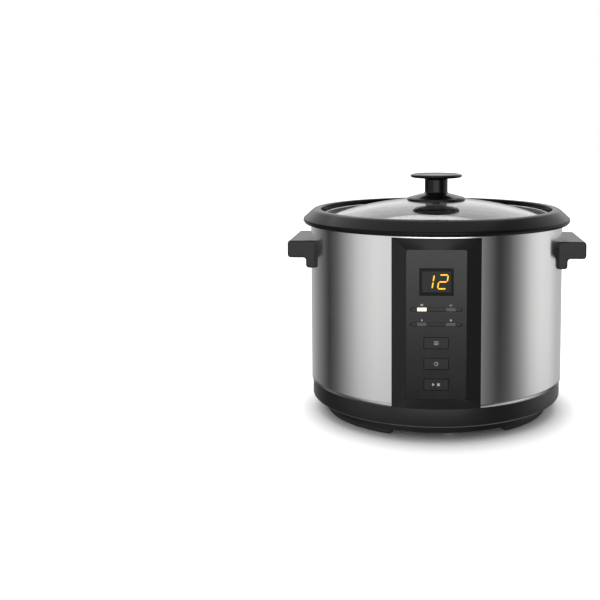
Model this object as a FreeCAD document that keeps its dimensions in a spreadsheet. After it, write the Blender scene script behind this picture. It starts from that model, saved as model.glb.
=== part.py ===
import FreeCAD, Part

import math
import os

import Sketcher

# A table-top rice cooker. It stands on the floor plane, its axis is Z, and its panel faces -Y.
# A steel shell stands between a moulded base and a moulded rim. The pot hangs in the rim over a
# cast heating plate, a domed glass lid lies on the pot, and the controls are behind the panel.

Vector = FreeCAD.Vector
doc = FreeCAD.newDocument("RiceCooker")
sheet = doc.addObject("Spreadsheet::Sheet", "Sizes")
nodes = []
rows = []


# Sizes: a driving dimension is one cell of the sheet, and the rest are worked out from those.

def text_of(item):
    return item.text if isinstance(item, Size) else repr(float(item))


def value_of(item):
    return item.value if isinstance(item, Size) else float(item)


class Size:
    """A length as the sheet's expression and as the number it gives now."""

    def __init__(self, text, value):
        self.text = text
        self.value = value

    def __add__(self, other):
        return Size(f"({self.text} + {text_of(other)})", self.value + value_of(other))

    def __radd__(self, other):
        return Size(f"({text_of(other)} + {self.text})", value_of(other) + self.value)

    def __sub__(self, other):
        return Size(f"({self.text} - {text_of(other)})", self.value - value_of(other))

    def __rsub__(self, other):
        return Size(f"({text_of(other)} - {self.text})", value_of(other) - self.value)

    def __mul__(self, other):
        return Size(f"({self.text} * {text_of(other)})", self.value * value_of(other))

    def __rmul__(self, other):
        return self * other

    def __truediv__(self, other):
        return Size(f"({self.text} / {text_of(other)})", self.value / value_of(other))

    def __neg__(self):
        return Size(f"(-1 * {self.text})", -self.value)


def root(item):
    return Size(f"sqrt({item.text})", math.sqrt(item.value))


def leg(long_side, short_side):
    """The other leg of a right triangle, such as a circle's depth at a distance from its axis."""
    return root(long_side * long_side - short_side * short_side)


def size(alias, value):
    rows.append(alias)
    sheet.set(f"A{len(rows)}", alias)
    sheet.set(f"B{len(rows)}", str(value))
    sheet.setAlias(f"B{len(rows)}", alias)
    return Size(f"Sizes.{alias}", float(value))


def around(radius, degrees):
    """The X and Y of a point on a circle about the axis."""
    angle = math.radians(degrees)
    return radius * math.cos(angle), radius * math.sin(angle)


# Shapes: each helper makes one kind of object with its sizes bound to the sheet.

def bind(item, path, length):
    if isinstance(length, Size):
        item.setExpression(path, length.text)
    elif path.startswith("Placement"):
        item.setExpression(path, repr(float(length)))
    else:
        setattr(item, path, length)


def place(item, x=0, y=0, z=0, turn=None):
    if turn:
        item.Placement = FreeCAD.Placement(Vector(0, 0, 0), turn)
    for axis, length in zip("xyz", (x, y, z)):
        bind(item, f"Placement.Base.{axis}", length)
    return item


def node(item, label):
    item.Label = label
    nodes.append(item)
    return item


def box(dx, dy, dz, x=0, y=0, z=0):
    """A block from its lowest corner."""
    item = doc.addObject("Part::Box", "Block")
    bind(item, "Length", dx)
    bind(item, "Width", dy)
    bind(item, "Height", dz)
    return place(item, x, y, z)


def slab(dx, dy, dz, y, z):
    """A block centred on X = 0 and on the height z, from the depth y towards +Y."""
    return box(dx, dy, dz, -dx / 2, y, z - dz / 2)


def rod(radius, length, x=0, y=0, z=0, along=Vector(0, 0, 1)):
    item = doc.addObject("Part::Cylinder", "Rod")
    bind(item, "Radius", radius)
    bind(item, "Height", length)
    return place(item, x, y, z, FreeCAD.Rotation(Vector(0, 0, 1), along))


def fused(*items):
    item = doc.addObject("Part::MultiFuse", "Fused")
    item.Shapes = list(items)
    item.Refine = True
    return item


def common(*items):
    item = doc.addObject("Part::MultiCommon", "Common")
    item.Shapes = list(items)
    return item


def cut(base, *tools):
    item = doc.addObject("Part::Cut", "Cut")
    item.Base = base
    item.Tool = group(*tools) if len(tools) > 1 else tools[0]
    return item


def group(*items):
    item = doc.addObject("Part::Compound", "Group")
    item.Links = list(items)
    return item


def screws(label, spots, along, length):
    """Pan-head screws: each spot is where the head meets the shank, which points along."""
    made = []
    for x, y, z in spots:
        shank = rod(screw_radius, length, x, y, z, along)
        head = rod(screw_head_radius, screw_head_height, x, y, z, -along)
        made.append(fused(shank, head))
    return node(group(*made), label)


def new_body(label=None):
    item = doc.addObject("PartDesign::Body", "Body")
    return node(item, label) if label else item


def sketch(body, role, loops, offset=0):
    """A sketch on one of the body's own origin planes, its corners pinned to the sheet."""
    plane = next(item for item in body.Origin.OriginFeatures if item.Role == role)
    item = body.newObject("Sketcher::SketchObject", "Sketch")
    item.AttachmentSupport = [(plane, "")]
    item.MapMode = "FlatFace"
    if isinstance(offset, Size):
        item.setExpression("AttachmentOffset.Base.z", offset.text)
    for loop in loops:
        if len(loop) == 3 and not isinstance(loop[0], tuple):
            circle(item, *loop)
        else:
            outline(item, loop)
    return item


def pin(item, kind, geometry, point, length):
    mark = Sketcher.Constraint(kind, -1, 1, geometry, point, value_of(length))
    number = item.addConstraint(mark)
    if isinstance(length, Size):
        item.setExpression(f"Constraints[{number}]", length.text)


def circle(item, x, y, radius):
    centre = Vector(value_of(x), value_of(y), 0)
    geometry = item.addGeometry(Part.Circle(centre, Vector(0, 0, 1), value_of(radius)))
    pin(item, "DistanceX", geometry, 3, x)
    pin(item, "DistanceY", geometry, 3, y)
    number = item.addConstraint(Sketcher.Constraint("Radius", geometry, value_of(radius)))
    if isinstance(radius, Size):
        item.setExpression(f"Constraints[{number}]", radius.text)


def outline(item, corners):
    """A closed loop of corners (x, y); a corner (x, y, radius, side) starts an arc to the next.

    Side 1 bulges to the right of the way along the loop, and -1 to the left.
    """
    count = len(corners)
    points = [Vector(value_of(corner[0]), value_of(corner[1]), 0) for corner in corners]
    ends = []
    for index, corner in enumerate(corners):
        start = points[index]
        stop = points[(index + 1) % count]
        if len(corner) == 2:
            geometry = item.addGeometry(Part.LineSegment(start, stop))
            ends.append((geometry, 1, 2))
            continue
        radius = value_of(corner[2])
        across = Vector(stop.y - start.y, start.x - stop.x, 0).normalize() * corner[3]
        rise = radius - math.sqrt(radius ** 2 - ((stop - start).Length / 2) ** 2)
        middle = (start + stop) * 0.5 + across * rise
        geometry = item.addGeometry(Part.Arc(start, middle, stop))
        ends.append((geometry, 1, 2) if corner[3] > 0 else (geometry, 2, 1))
        number = item.addConstraint(Sketcher.Constraint("Radius", geometry, radius))
        if isinstance(corner[2], Size):
            item.setExpression(f"Constraints[{number}]", corner[2].text)
    for index, (geometry, first, last) in enumerate(ends):
        follower, entry, _ = ends[(index + 1) % count]
        item.addConstraint(Sketcher.Constraint("Coincident", geometry, last, follower, entry))
        pin(item, "DistanceX", geometry, first, corners[index][0])
        pin(item, "DistanceY", geometry, first, corners[index][1])


def rounded(x0, y0, x1, y1, radius):
    """The loop of a rectangle with round corners."""
    return [
        (x0 + radius, y0), (x1 - radius, y0, radius, 1),
        (x1, y0 + radius), (x1, y1 - radius, radius, 1),
        (x1 - radius, y1), (x0 + radius, y1, radius, 1),
        (x0, y1 - radius), (x0, y0 + radius, radius, 1),
    ]


def centred(width, height, middle, radius):
    return rounded(-width / 2, middle - height / 2, width / 2, middle + height / 2, radius)


def turned(body, loops, degrees=360):
    """A revolution about Z of loops drawn as (radius, height)."""
    item = body.newObject("PartDesign::Revolution", "Revolution")
    item.Profile = (sketch(body, "XZ_Plane", loops), [""])
    item.ReferenceAxis = (item.Profile[0], ["V_Axis"])
    item.Angle = degrees
    return item


def ring(label, corners):
    """A node turned from one loop of (radius, height) corners."""
    body = new_body(label)
    turned(body, [corners])
    return body


def pad(body, role, loops, length, offset=0, both_ways=False):
    item = body.newObject("PartDesign::Pad", "Pad")
    item.Profile = (sketch(body, role, loops, offset), [""])
    bind(item, "Length", length)
    item.Midplane = both_ways
    return item


def pocket(body, role, loops, length, offset=0, backwards=False):
    """A cut through the body's solid, refused if it takes nothing away."""
    doc.recompute()
    before = body.Shape.Volume
    item = body.newObject("PartDesign::Pocket", "Pocket")
    item.Profile = (sketch(body, role, loops, offset), [""])
    bind(item, "Length", length)
    item.Reversed = backwards
    doc.recompute()
    if body.Shape.Volume > before - 0.001:
        raise RuntimeError(f"a pocket of {body.Label} cuts nothing")
    return item


def repeated(body, feature, count):
    item = body.newObject("PartDesign::PolarPattern", "Pattern")
    item.Originals = [feature]
    item.Axis = (feature.Profile[0], ["N_Axis"])
    item.Angle = 360
    item.Occurrences = count
    body.Tip = item
    return item


# Fastener sizes and fits that several pieces share.
screw_radius = size("screw_radius", 1.5)
screw_head_radius = size("screw_head_radius", 3.0)
screw_head_height = size("screw_head_height", 2.0)
hole_clearance = size("hole_clearance", 0.2)
screw_hole = screw_radius + hole_clearance
POST_ANGLES = [37 + 120 * step for step in range(3)]
UP = Vector(0, 0, 1)
DOWN = Vector(0, 0, -1)
INWARD = Vector(0, 1, 0)

# Heights, from the floor up.
foot_height = size("foot_height", 4.7)
skirt_height = size("skirt_height", 8.3)
base_taper = size("base_taper", 2.5)
base_band = size("base_band", 16.8)
shell_height = size("shell_height", 161.2)
rim_height = size("rim_height", 14.3)
taper_z = foot_height + skirt_height
band_z = taper_z + base_taper
base_top = band_z + base_band
lip_z = base_top + shell_height
crest_z = lip_z + rim_height

# Radii, all measured from the shell.
shell_radius = size("shell_radius", 130)
shell_wall = size("shell_wall", 0.6)
base_inset = size("base_inset", 0.7)
base_wall = size("base_wall", 3.2)
skirt_inset = size("skirt_inset", 15.0)
skirt_wall = size("skirt_wall", 2.5)
rim_inset = size("rim_inset", 10.1)
pot_ledge_width = size("pot_ledge_width", 8.7)
liner_inset = size("liner_inset", 1.2)
pillar_margin = size("pillar_margin", 4.0)
shell_inner = shell_radius - shell_wall
base_radius = shell_radius - base_inset
skirt_radius = shell_radius - skirt_inset
skirt_inner = skirt_radius - skirt_wall
rim_inner = shell_radius - rim_inset
pot_ledge_inner = rim_inner - pot_ledge_width
liner_inner = pot_ledge_inner - liner_inset

# Base: a black moulding with a recessed skirt, a ledge for the bottom cover and three pillars.
cover_thickness = size("cover_thickness", 2.0)
ledge_width = size("ledge_width", 9.5)
ledge_thickness = size("ledge_thickness", 3.0)
locating_rib = size("locating_rib", 1.5)
locating_height = size("locating_height", 2.7)
pillar_radius = size("pillar_radius", 5.0)
liner_floor = size("liner_floor", 44.0)
fit_gap = size("fit_gap", 0.1)
ledge_z = foot_height + cover_thickness
ledge_inner = skirt_inner - ledge_width
base_inner = base_radius - base_wall
rib_outer = base_inner + locating_rib
pillar_circle = liner_inner - pillar_margin
pilot_depth = size("pilot_depth", 10.0)

base = new_body("base_housing")
turned(base, [[
    (skirt_inner, foot_height), (skirt_radius, foot_height), (skirt_radius, taper_z),
    (base_radius - base_taper, taper_z + 0.8), (base_radius, band_z), (base_radius, base_top),
    (rib_outer, base_top), (rib_outer, base_top + locating_height),
    (base_inner, base_top + locating_height), (base_inner, band_z + base_wall),
    (skirt_inner, band_z + base_wall - 1.2), (skirt_inner, ledge_z + ledge_thickness),
    (ledge_inner, ledge_z + ledge_thickness), (ledge_inner, ledge_z), (skirt_inner, ledge_z),
]])
pillar_x, pillar_y = around(pillar_circle, POST_ANGLES[0])
pillar = pad(base, "XY_Plane", [(pillar_x, pillar_y, pillar_radius)], liner_floor - ledge_z, ledge_z)
repeated(base, pillar, 3)
lower_pilot = pocket(
    base, "XY_Plane", [(pillar_x, pillar_y, screw_radius)], pilot_depth, ledge_z, backwards=True
)
repeated(base, lower_pilot, 3)
upper_pilot = pocket(base, "XY_Plane", [(pillar_x, pillar_y, screw_radius)], pilot_depth, liner_floor)
repeated(base, upper_pilot, 3)

# Bottom cover: a pressed disc with cooling slots, held up against the ledge by three screws.
cover_radius = skirt_inner - hole_clearance
slot_width = size("slot_width", 3.0)
slot_length = size("slot_length", 22.0)
slot_start = size("slot_start", 34.0)
cover = new_body("bottom_cover")
pad(cover, "XY_Plane", [(0, 0, cover_radius)], cover_thickness, foot_height)
cooling_slot = pocket(
    cover, "XY_Plane",
    [rounded(slot_start, -slot_width / 2, slot_start + slot_length, slot_width / 2, slot_width * 0.45)],
    cover_thickness, foot_height, backwards=True,
)
repeated(cover, cooling_slot, 16)
cover_hole = pocket(
    cover, "XY_Plane", [(pillar_x, pillar_y, screw_hole)], cover_thickness, foot_height, backwards=True
)
repeated(cover, cover_hole, 3)
pillar_spots = [around(pillar_circle, angle) for angle in POST_ANGLES]
screws("base_screws", [(x, y, foot_height) for x, y in pillar_spots], UP, cover_thickness + pilot_depth)

# Feet: three rubber arcs under the skirt, with gaps between them.
foot_width = size("foot_width", 10.0)
FOOT_SPAN = 61.5
for label, start in (("foot_left", -174), ("foot_right", -54), ("foot_back", 66)):
    foot = new_body(label)
    turned(foot, [[
        (skirt_radius - foot_width, 0), (skirt_radius - 0.5, 0), (skirt_radius, 0.5),
        (skirt_radius, foot_height), (skirt_radius - foot_width, foot_height),
    ]], FOOT_SPAN)
    foot.Placement = FreeCAD.Placement(Vector(0, 0, 0), FreeCAD.Rotation(UP, start))

# Shell: a rolled steel band with a turned-in lower edge, openings for the panel and the inlet,
# and holes for the handles' screws.
shell_engagement = size("shell_engagement", 4.0)
panel_width = size("panel_width", 83.0)
panel_top_gap = size("panel_top_gap", 1.9)
panel_overlap = size("panel_overlap", 3.5)
inlet_height = size("inlet_height", 52.0)
inlet_width = size("inlet_width", 34.0)
inlet_tall = size("inlet_tall", 24.0)
inlet_screw_reach = size("inlet_screw_reach", 20.0)
handle_length = size("handle_length", 86.0)
handle_top = size("handle_top", 15.9)
handle_thickness = size("handle_thickness", 17.5)
handle_screw_reach = size("handle_screw_reach", 25.0)
shell_top = lip_z + shell_engagement
flange_inner = rib_outer + fit_gap
panel_bottom = base_top
panel_top = lip_z - panel_top_gap
grip_top = lip_z - handle_top
grip_bottom = grip_top - handle_thickness
grip_middle = grip_top - handle_thickness / 2
shell = new_body("outer_shell")
turned(shell, [[
    (flange_inner, base_top), (shell_radius, base_top), (shell_radius, shell_top),
    (shell_inner, shell_top), (shell_inner, base_top + shell_wall), (flange_inner, base_top + shell_wall),
]])
opening_half = panel_width / 2 - panel_overlap
opening_low = panel_bottom + panel_overlap
opening_high = panel_top - panel_overlap
pocket(
    shell, "XZ_Plane", [rounded(-opening_half, opening_low, opening_half, opening_high, hole_clearance)],
    shell_radius + 5, backwards=True,
)
inlet_opening = centred(inlet_width, inlet_tall, inlet_height, hole_clearance)
pocket(shell, "XZ_Plane", [inlet_opening], shell_radius + 5)
for side in (-1, 1):
    pocket(shell, "XZ_Plane", [(side * inlet_screw_reach, inlet_height, screw_hole)], shell_radius + 5)
    for backwards in (False, True):
        pocket(
            shell, "YZ_Plane", [(side * handle_screw_reach, grip_middle, screw_hole)],
            shell_radius + 5, backwards=backwards,
        )

# Rim: a black moulding that caps the shell, with a ledge inside that carries the pot.
rim_overhang = size("rim_overhang", 8.6)
rim_crest_width = size("rim_crest_width", 7.5)
rim_wall = size("rim_wall", 2.5)
rim_edge = size("rim_edge", 1.5)
rim_nose_height = size("rim_nose_height", 2.5)
rim_crease_height = size("rim_crease_height", 4.8)
pot_ledge_depth = size("pot_ledge_depth", 15.2)
rim_nose = shell_radius + rim_overhang
crest_outer = rim_inner + rim_crest_width
pot_ledge_z = crest_z - pot_ledge_depth
rib_face = shell_inner - fit_gap
ring("rim_ring", [
    (shell_radius + fit_gap, lip_z), (rim_nose - 1.6, lip_z), (rim_nose, lip_z + rim_nose_height),
    (rim_nose - 0.4, lip_z + rim_crease_height), (crest_outer + 1.0, crest_z - 0.9),
    (crest_outer - 1.0, crest_z), (rim_inner + rim_edge, crest_z, rim_edge, 1),
    (rim_inner, crest_z - rim_edge), (rim_inner, pot_ledge_z), (pot_ledge_inner, pot_ledge_z),
    (pot_ledge_inner, pot_ledge_z - rim_wall), (rim_inner + rim_wall, pot_ledge_z - rim_wall),
    (rim_inner + rim_wall, crest_z - rim_wall - 0.7), (rib_face - rim_wall + 0.5, crest_z - rim_wall - 0.7),
    (rib_face - rim_wall + 0.5, lip_z), (rib_face, lip_z), (rib_face, shell_top),
    (shell_radius + fit_gap, shell_top),
])

# Liner: a thin steel well that hangs from the rim's ledge and stands on the base's pillars.
liner_wall = size("liner_wall", 0.6)
liner_flange = size("liner_flange", 8.0)
liner_hole = size("liner_hole", 26.0)
heater_circle = size("heater_circle", 62.0)
terminal_radius = size("terminal_radius", 2.0)
terminal_clearance = size("terminal_clearance", 2.0)
plate_post_circle = size("plate_post_circle", 75.0)
liner_outer = liner_inner + liner_wall
liner_top = pot_ledge_z - rim_wall
liner_deck = liner_floor + liner_wall
TERMINAL_ANGLES = (103, 77)
TUBE_ENDS = (100, 80)
liner = new_body("inner_liner")
turned(liner, [[
    (liner_inner, liner_top), (liner_inner, liner_deck), (liner_hole, liner_deck),
    (liner_hole, liner_floor), (liner_outer, liner_floor), (liner_outer, liner_top - liner_wall),
    (liner_outer + liner_flange, liner_top - liner_wall), (liner_outer + liner_flange, liner_top),
]])
for angle in TERMINAL_ANGLES:
    x, y = around(heater_circle, angle)
    pocket(
        liner, "XY_Plane", [(x, y, terminal_radius + terminal_clearance)], liner_wall,
        liner_floor, backwards=True,
    )
plate_post_x, plate_post_y = around(plate_post_circle, POST_ANGLES[0])
for x, y in ((pillar_x, pillar_y), (plate_post_x, plate_post_y)):
    screw_cut = pocket(liner, "XY_Plane", [(x, y, screw_hole)], liner_wall, liner_floor, backwards=True)
    repeated(liner, screw_cut, 3)
rim_screw_circle = liner_outer + liner_flange / 2
rim_screw_x, rim_screw_y = around(rim_screw_circle, POST_ANGLES[0])
flange_cut = pocket(
    liner, "XY_Plane", [(rim_screw_x, rim_screw_y, screw_radius)], liner_wall + 1,
    liner_top - liner_wall - 0.5, backwards=True,
)
repeated(liner, flange_cut, 3)
screws("liner_screws", [(x, y, liner_deck) for x, y in pillar_spots], DOWN, liner_wall + pilot_depth)

# Heating plate: a cast disc on three posts, with the heating tube pressed into its underside.
plate_radius = size("plate_radius", 85.0)
plate_thickness = size("plate_thickness", 12.0)
post_height = size("post_height", 5.4)
post_radius = size("post_radius", 4.0)
tube_radius = size("tube_radius", 4.0)
sensor_bore = size("sensor_bore", 17.0)
plate_edge = size("plate_edge", 2.0)
plate_low = liner_deck + post_height
plate_top = plate_low + plate_thickness
plate_screw_bite = size("plate_screw_bite", 6.0)
heater = new_body("heating_plate")
turned(heater, [[
    (sensor_bore, plate_low), (heater_circle - tube_radius, plate_low),
    (heater_circle - tube_radius, plate_low + tube_radius),
    (heater_circle + tube_radius, plate_low + tube_radius), (heater_circle + tube_radius, plate_low),
    (plate_radius, plate_low), (plate_radius, plate_top - plate_edge, plate_edge, 1),
    (plate_radius - plate_edge, plate_top), (sensor_bore, plate_top),
]])
plate_pilot = pocket(
    heater, "XY_Plane", [(plate_post_x, plate_post_y, screw_radius)], plate_screw_bite, plate_low,
    backwards=True,
)
repeated(heater, plate_pilot, 3)
tube = doc.addObject("Part::Torus", "Tube")
bind(tube, "Radius1", heater_circle)
bind(tube, "Radius2", tube_radius)
tube.Angle3 = 360 - (TUBE_ENDS[0] - TUBE_ENDS[1])
place(tube, 0, 0, plate_low, FreeCAD.Rotation(UP, TUBE_ENDS[0]))
node(tube, "heater_tube")
terminal_length = size("terminal_length", 16.0)
terminals = []
for angle in TERMINAL_ANGLES:
    x, y = around(heater_circle, angle)
    terminals.append(rod(terminal_radius, terminal_length, x, y, plate_low - tube_radius, DOWN))
node(group(*terminals), "heater_terminals")
plate_spots = [around(plate_post_circle, angle) for angle in POST_ANGLES]
posts = []
for x, y in plate_spots:
    post = rod(post_radius, post_height, x, y, liner_deck)
    posts.append(cut(post, rod(screw_hole, post_height, x, y, liner_deck)))
node(group(*posts), "heater_posts")
screws(
    "heater_screws", [(x, y, liner_floor) for x, y in plate_spots], UP,
    liner_wall + post_height + plate_screw_bite,
)
rim_spots = [(*around(rim_screw_circle, angle), liner_top - liner_wall) for angle in POST_ANGLES]
screws("rim_screws", rim_spots, UP, liner_wall)

# Temperature sensor: a sprung cap in the plate's middle that the pot presses down flush.
cap_gap = size("cap_gap", 1.5)
cap_wall = size("cap_wall", 1.2)
cap_flange = size("cap_flange", 1.5)
cap_overrun = size("cap_overrun", 3.0)
probe_radius = size("probe_radius", 4.5)
probe_height = size("probe_height", 3.5)
bracket_drop = size("bracket_drop", 12.0)
bracket_wall = size("bracket_wall", 1.0)
bracket_width = size("bracket_width", 14.0)
bracket_reach = size("bracket_reach", 20.0)
spring_radius = size("spring_radius", 7.0)
spring_wire = size("spring_wire", 0.5)
cap_radius = sensor_bore - cap_gap
cap_low = plate_low - cap_overrun
cap_ceiling = plate_top - cap_wall
cap_inner = cap_radius - cap_wall
ring("sensor_cap", [
    (0, plate_top), (0, cap_ceiling), (cap_inner, cap_ceiling), (cap_inner, cap_low),
    (sensor_bore + 1, cap_low), (sensor_bore + 1, cap_low + cap_flange),
    (cap_radius, cap_low + cap_flange), (cap_radius, plate_top - 1), (cap_radius - 1, plate_top),
])
node(rod(probe_radius, probe_height, 0, 0, cap_ceiling, DOWN), "temperature_probe")
bracket_low = plate_low - bracket_drop
bracket_half = bracket_reach + bracket_wall
foot_reach = size("foot_reach", 5.0)
bracket_y = -bracket_width / 2
bracket_pieces = [box(bracket_half * 2, bracket_width, bracket_wall, -bracket_half, bracket_y, bracket_low)]
for side in (-1, 1):
    wall_x = bracket_reach if side > 0 else -bracket_half
    tab_x = bracket_reach if side > 0 else -(bracket_reach + foot_reach)
    bracket_pieces.append(box(bracket_wall, bracket_width, bracket_drop, wall_x, bracket_y, bracket_low))
    bracket_pieces.append(
        box(foot_reach, bracket_width, bracket_wall, tab_x, bracket_y, plate_low - bracket_wall)
    )
node(fused(*bracket_pieces), "sensor_bracket")
spring_low = bracket_low + bracket_wall
SPRING_TURNS = 8
spring_pitch = (cap_ceiling - spring_low - spring_wire * 2) / (SPRING_TURNS - 1)
coils = []
for step in range(SPRING_TURNS):
    coil = doc.addObject("Part::Torus", "Coil")
    bind(coil, "Radius1", spring_radius)
    bind(coil, "Radius2", spring_wire)
    coils.append(place(coil, 0, 0, spring_low + spring_wire + spring_pitch * step))
node(group(*coils), "sensor_spring")
fuse_radius = size("fuse_radius", 2.0)
fuse_length = size("fuse_length", 14.0)
fuse_y = size("fuse_y", 42.0)
node(rod(
    fuse_radius, fuse_length, -fuse_length / 2, -fuse_y, plate_low - fuse_radius, Vector(1, 0, 0)
), "thermal_fuse")
clip_width = size("clip_width", 5.0)
clip_wall = size("clip_wall", 0.8)
clip_x = -clip_width / 2
clip_y = -fuse_y - fuse_radius - clip_wall
clip_low = plate_low - fuse_radius * 2 - clip_wall
clip_tall = plate_low - clip_low
node(fused(
    box(clip_width, fuse_radius * 2 + clip_wall * 2, clip_wall, clip_x, clip_y, clip_low),
    box(clip_width, clip_wall, clip_tall, clip_x, clip_y, clip_low),
    box(clip_width, clip_wall, clip_tall, clip_x, -fuse_y + fuse_radius, clip_low),
), "fuse_clip")

# Pot: a pressed aluminium bowl that hangs by its flange and touches the plate and the sensor.
# It is one pressing, modelled as its side and its floor, which meet where the corner ends.
pot_gap = size("pot_gap", 3.0)
pot_wall = size("pot_wall", 1.5)
pot_corner = size("pot_corner", 23.0)
pot_flange_gap = size("pot_flange_gap", 1.4)
pot_radius = liner_inner - pot_gap
pot_inner = pot_radius - pot_wall
pot_flange_top = pot_ledge_z + pot_wall
pot_flange = rim_inner - pot_flange_gap
corner_top = plate_top + pot_corner
ring("pot_side", [
    (pot_radius, corner_top), (pot_radius, pot_ledge_z), (pot_flange, pot_ledge_z),
    (pot_flange, pot_flange_top), (pot_inner, pot_flange_top), (pot_inner, corner_top),
])
ring("pot_floor", [
    (0, plate_top), (pot_radius - pot_corner, plate_top, pot_corner, 1), (pot_radius, corner_top),
    (pot_inner, corner_top, pot_corner - pot_wall, -1),
    (pot_radius - pot_corner, plate_top + pot_wall), (0, plate_top + pot_wall),
])

# Lid: a domed glass in a gasket and a steel band, with a knob, its screw and a steam eyelet.
dome_radius = size("dome_radius", 370.0)
glass_wall = size("glass_wall", 4.0)
lid_gap = size("lid_gap", 2.4)
band_sheet = size("band_sheet", 0.8)
band_height = size("band_height", 9.1)
band_lip = size("band_lip", 3.9)
gasket_width = size("gasket_width", 4.2)
glass_lift = size("glass_lift", 1.5)
knob_hole = size("knob_hole", 4.2)
vent_hole = size("vent_hole", 4.0)
VENT_ANGLE = 9.6
band_outer = rim_inner - lid_gap
band_inner = band_outer - band_sheet
glass_edge = band_inner - gasket_width
dome_centre = pot_flange_top + glass_lift - leg(dome_radius - glass_wall, glass_edge)


def dome_height(radius, depth=0):
    """The height of the glass's surface, or of one a depth under it, at a radius."""
    return dome_centre + leg(dome_radius - depth, radius)


glass_blank = new_body()
turned(glass_blank, [[
    (knob_hole, dome_height(knob_hole, glass_wall), dome_radius - glass_wall, -1),
    (glass_edge, dome_height(glass_edge, glass_wall)),
    (glass_edge, dome_height(glass_edge), dome_radius, 1), (knob_hole, dome_height(knob_hole)),
]])
vent_turn = FreeCAD.Rotation(Vector(1, 0, 0), -VENT_ANGLE)
vent_axis = Vector(0, math.sin(math.radians(VENT_ANGLE)), math.cos(math.radians(VENT_ANGLE)))
vent_start = dome_radius - glass_wall - 5
node(cut(glass_blank, rod(
    vent_hole, glass_wall + 10, vent_start * vent_axis.x, vent_start * vent_axis.y,
    dome_centre + vent_start * vent_axis.z, vent_axis,
)), "lid_glass")
ring("lid_band", [
    (band_outer - band_lip - band_sheet, pot_flange_top), (band_outer, pot_flange_top),
    (band_outer, pot_flange_top + band_height - 0.6), (band_outer - 0.6, pot_flange_top + band_height),
    (band_outer - band_lip, pot_flange_top + band_height),
    (band_outer - band_lip, pot_flange_top + band_height - band_sheet),
    (band_inner, pot_flange_top + band_height - band_sheet), (band_inner, pot_flange_top + band_sheet),
    (band_outer - band_lip - band_sheet, pot_flange_top + band_sheet),
])
gasket_top = pot_flange_top + band_height - band_sheet
ring("lid_gasket", [
    (glass_edge, pot_flange_top + band_sheet), (band_inner, pot_flange_top + band_sheet),
    (band_inner, gasket_top), (glass_edge + 1.4, gasket_top), (glass_edge, gasket_top - 1.4),
])
knob_disc = size("knob_disc", 27.2)
knob_stem = size("knob_stem", 12.0)
knob_skirt = size("knob_skirt", 30.4)
knob_height = size("knob_height", 25.8)
knob_disc_thickness = size("knob_disc_thickness", 4.1)
knob_flare = size("knob_flare", 8.6)
knob_screw_bite = size("knob_screw_bite", 13.0)
apex = dome_centre + dome_radius
knob_top = apex + knob_height
disc_low = knob_top - knob_disc_thickness
ring("lid_knob", [
    (screw_radius, dome_height(screw_radius)), (screw_radius, apex + knob_screw_bite),
    (0, apex + knob_screw_bite), (0, knob_top - 0.8), (knob_disc - 3.2, knob_top - 0.2),
    (knob_disc - 1.8, knob_top, 2.0, -1), (knob_disc, knob_top - 1.8), (knob_disc - 0.6, disc_low + 0.8),
    (knob_disc - 3.0, disc_low), (knob_stem + 1.0, disc_low - 0.4), (knob_stem, disc_low - 1.4),
    (knob_stem, apex + knob_flare), (knob_stem + 3.3, apex + 4.5, 16.0, 1),
    (knob_skirt - 4.0, apex + 1.0), (knob_skirt, dome_height(knob_skirt) + 1.3),
    (knob_skirt, dome_height(knob_skirt), dome_radius, 1),
])
washer_radius = size("washer_radius", 9.0)
washer_height = size("washer_height", 1.5)
washer_seat = dome_height(knob_hole, glass_wall)
ring("knob_washer", [
    (screw_radius, washer_seat - washer_height), (washer_radius, washer_seat - washer_height),
    (washer_radius, dome_height(washer_radius, glass_wall), dome_radius - glass_wall, 1),
    (knob_hole, washer_seat), (knob_hole, dome_height(knob_hole, glass_wall / 4)),
    (screw_radius, dome_height(knob_hole, glass_wall / 4)),
])
screws(
    "knob_screw", [(0, 0, washer_seat - washer_height)], UP,
    apex + knob_screw_bite - washer_seat + washer_height,
)
eyelet_wall = size("eyelet_wall", 0.8)
eyelet_flange = size("eyelet_flange", 2.6)
eyelet = new_body("vent_eyelet")
turned(eyelet, [[
    (vent_hole - eyelet_wall, dome_radius - glass_wall - eyelet_wall),
    (vent_hole + eyelet_flange, dome_radius - glass_wall - eyelet_wall),
    (vent_hole + eyelet_flange, dome_radius - glass_wall - 0.1), (vent_hole, dome_radius - glass_wall - 0.1),
    (vent_hole, dome_radius), (vent_hole + eyelet_flange, dome_radius),
    (vent_hole + eyelet_flange, dome_radius + eyelet_wall),
    (vent_hole - eyelet_wall, dome_radius + eyelet_wall),
]])
place(eyelet, 0, 0, dome_centre, vent_turn)

# Handles: two black grips with a leg that lies on the shell, each held by two screws from inside.
handle_reach = size("handle_reach", 20.4)
handle_leg_reach = size("handle_leg_reach", 1.8)
handle_leg_height = size("handle_leg_height", 10.4)
handle_round = size("handle_round", 3.5)
handle_screw_bite = size("handle_screw_bite", 12.0)
handle_back = leg(shell_radius, handle_length / 2) - 2
leg_face = shell_radius + handle_leg_reach
leg_low = grip_bottom - handle_leg_height
grip_face = shell_radius + handle_reach
handle = new_body("handle_right")
pad(handle, "XZ_Plane", [[
    (handle_back, leg_low), (leg_face - handle_round, leg_low, handle_round, 1),
    (leg_face, leg_low + handle_round), (leg_face, grip_bottom - handle_round, handle_round, -1),
    (leg_face + handle_round, grip_bottom), (grip_face - handle_round, grip_bottom, handle_round, 1),
    (grip_face, grip_bottom + handle_round), (grip_face, grip_top - handle_round, handle_round, 1),
    (grip_face - handle_round, grip_top), (handle_back, grip_top),
]], handle_length, both_ways=True)
handle_tall = handle_thickness + handle_leg_height
pocket(handle, "XY_Plane", [(0, 0, shell_radius)], handle_tall, leg_low, backwards=True)
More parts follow.
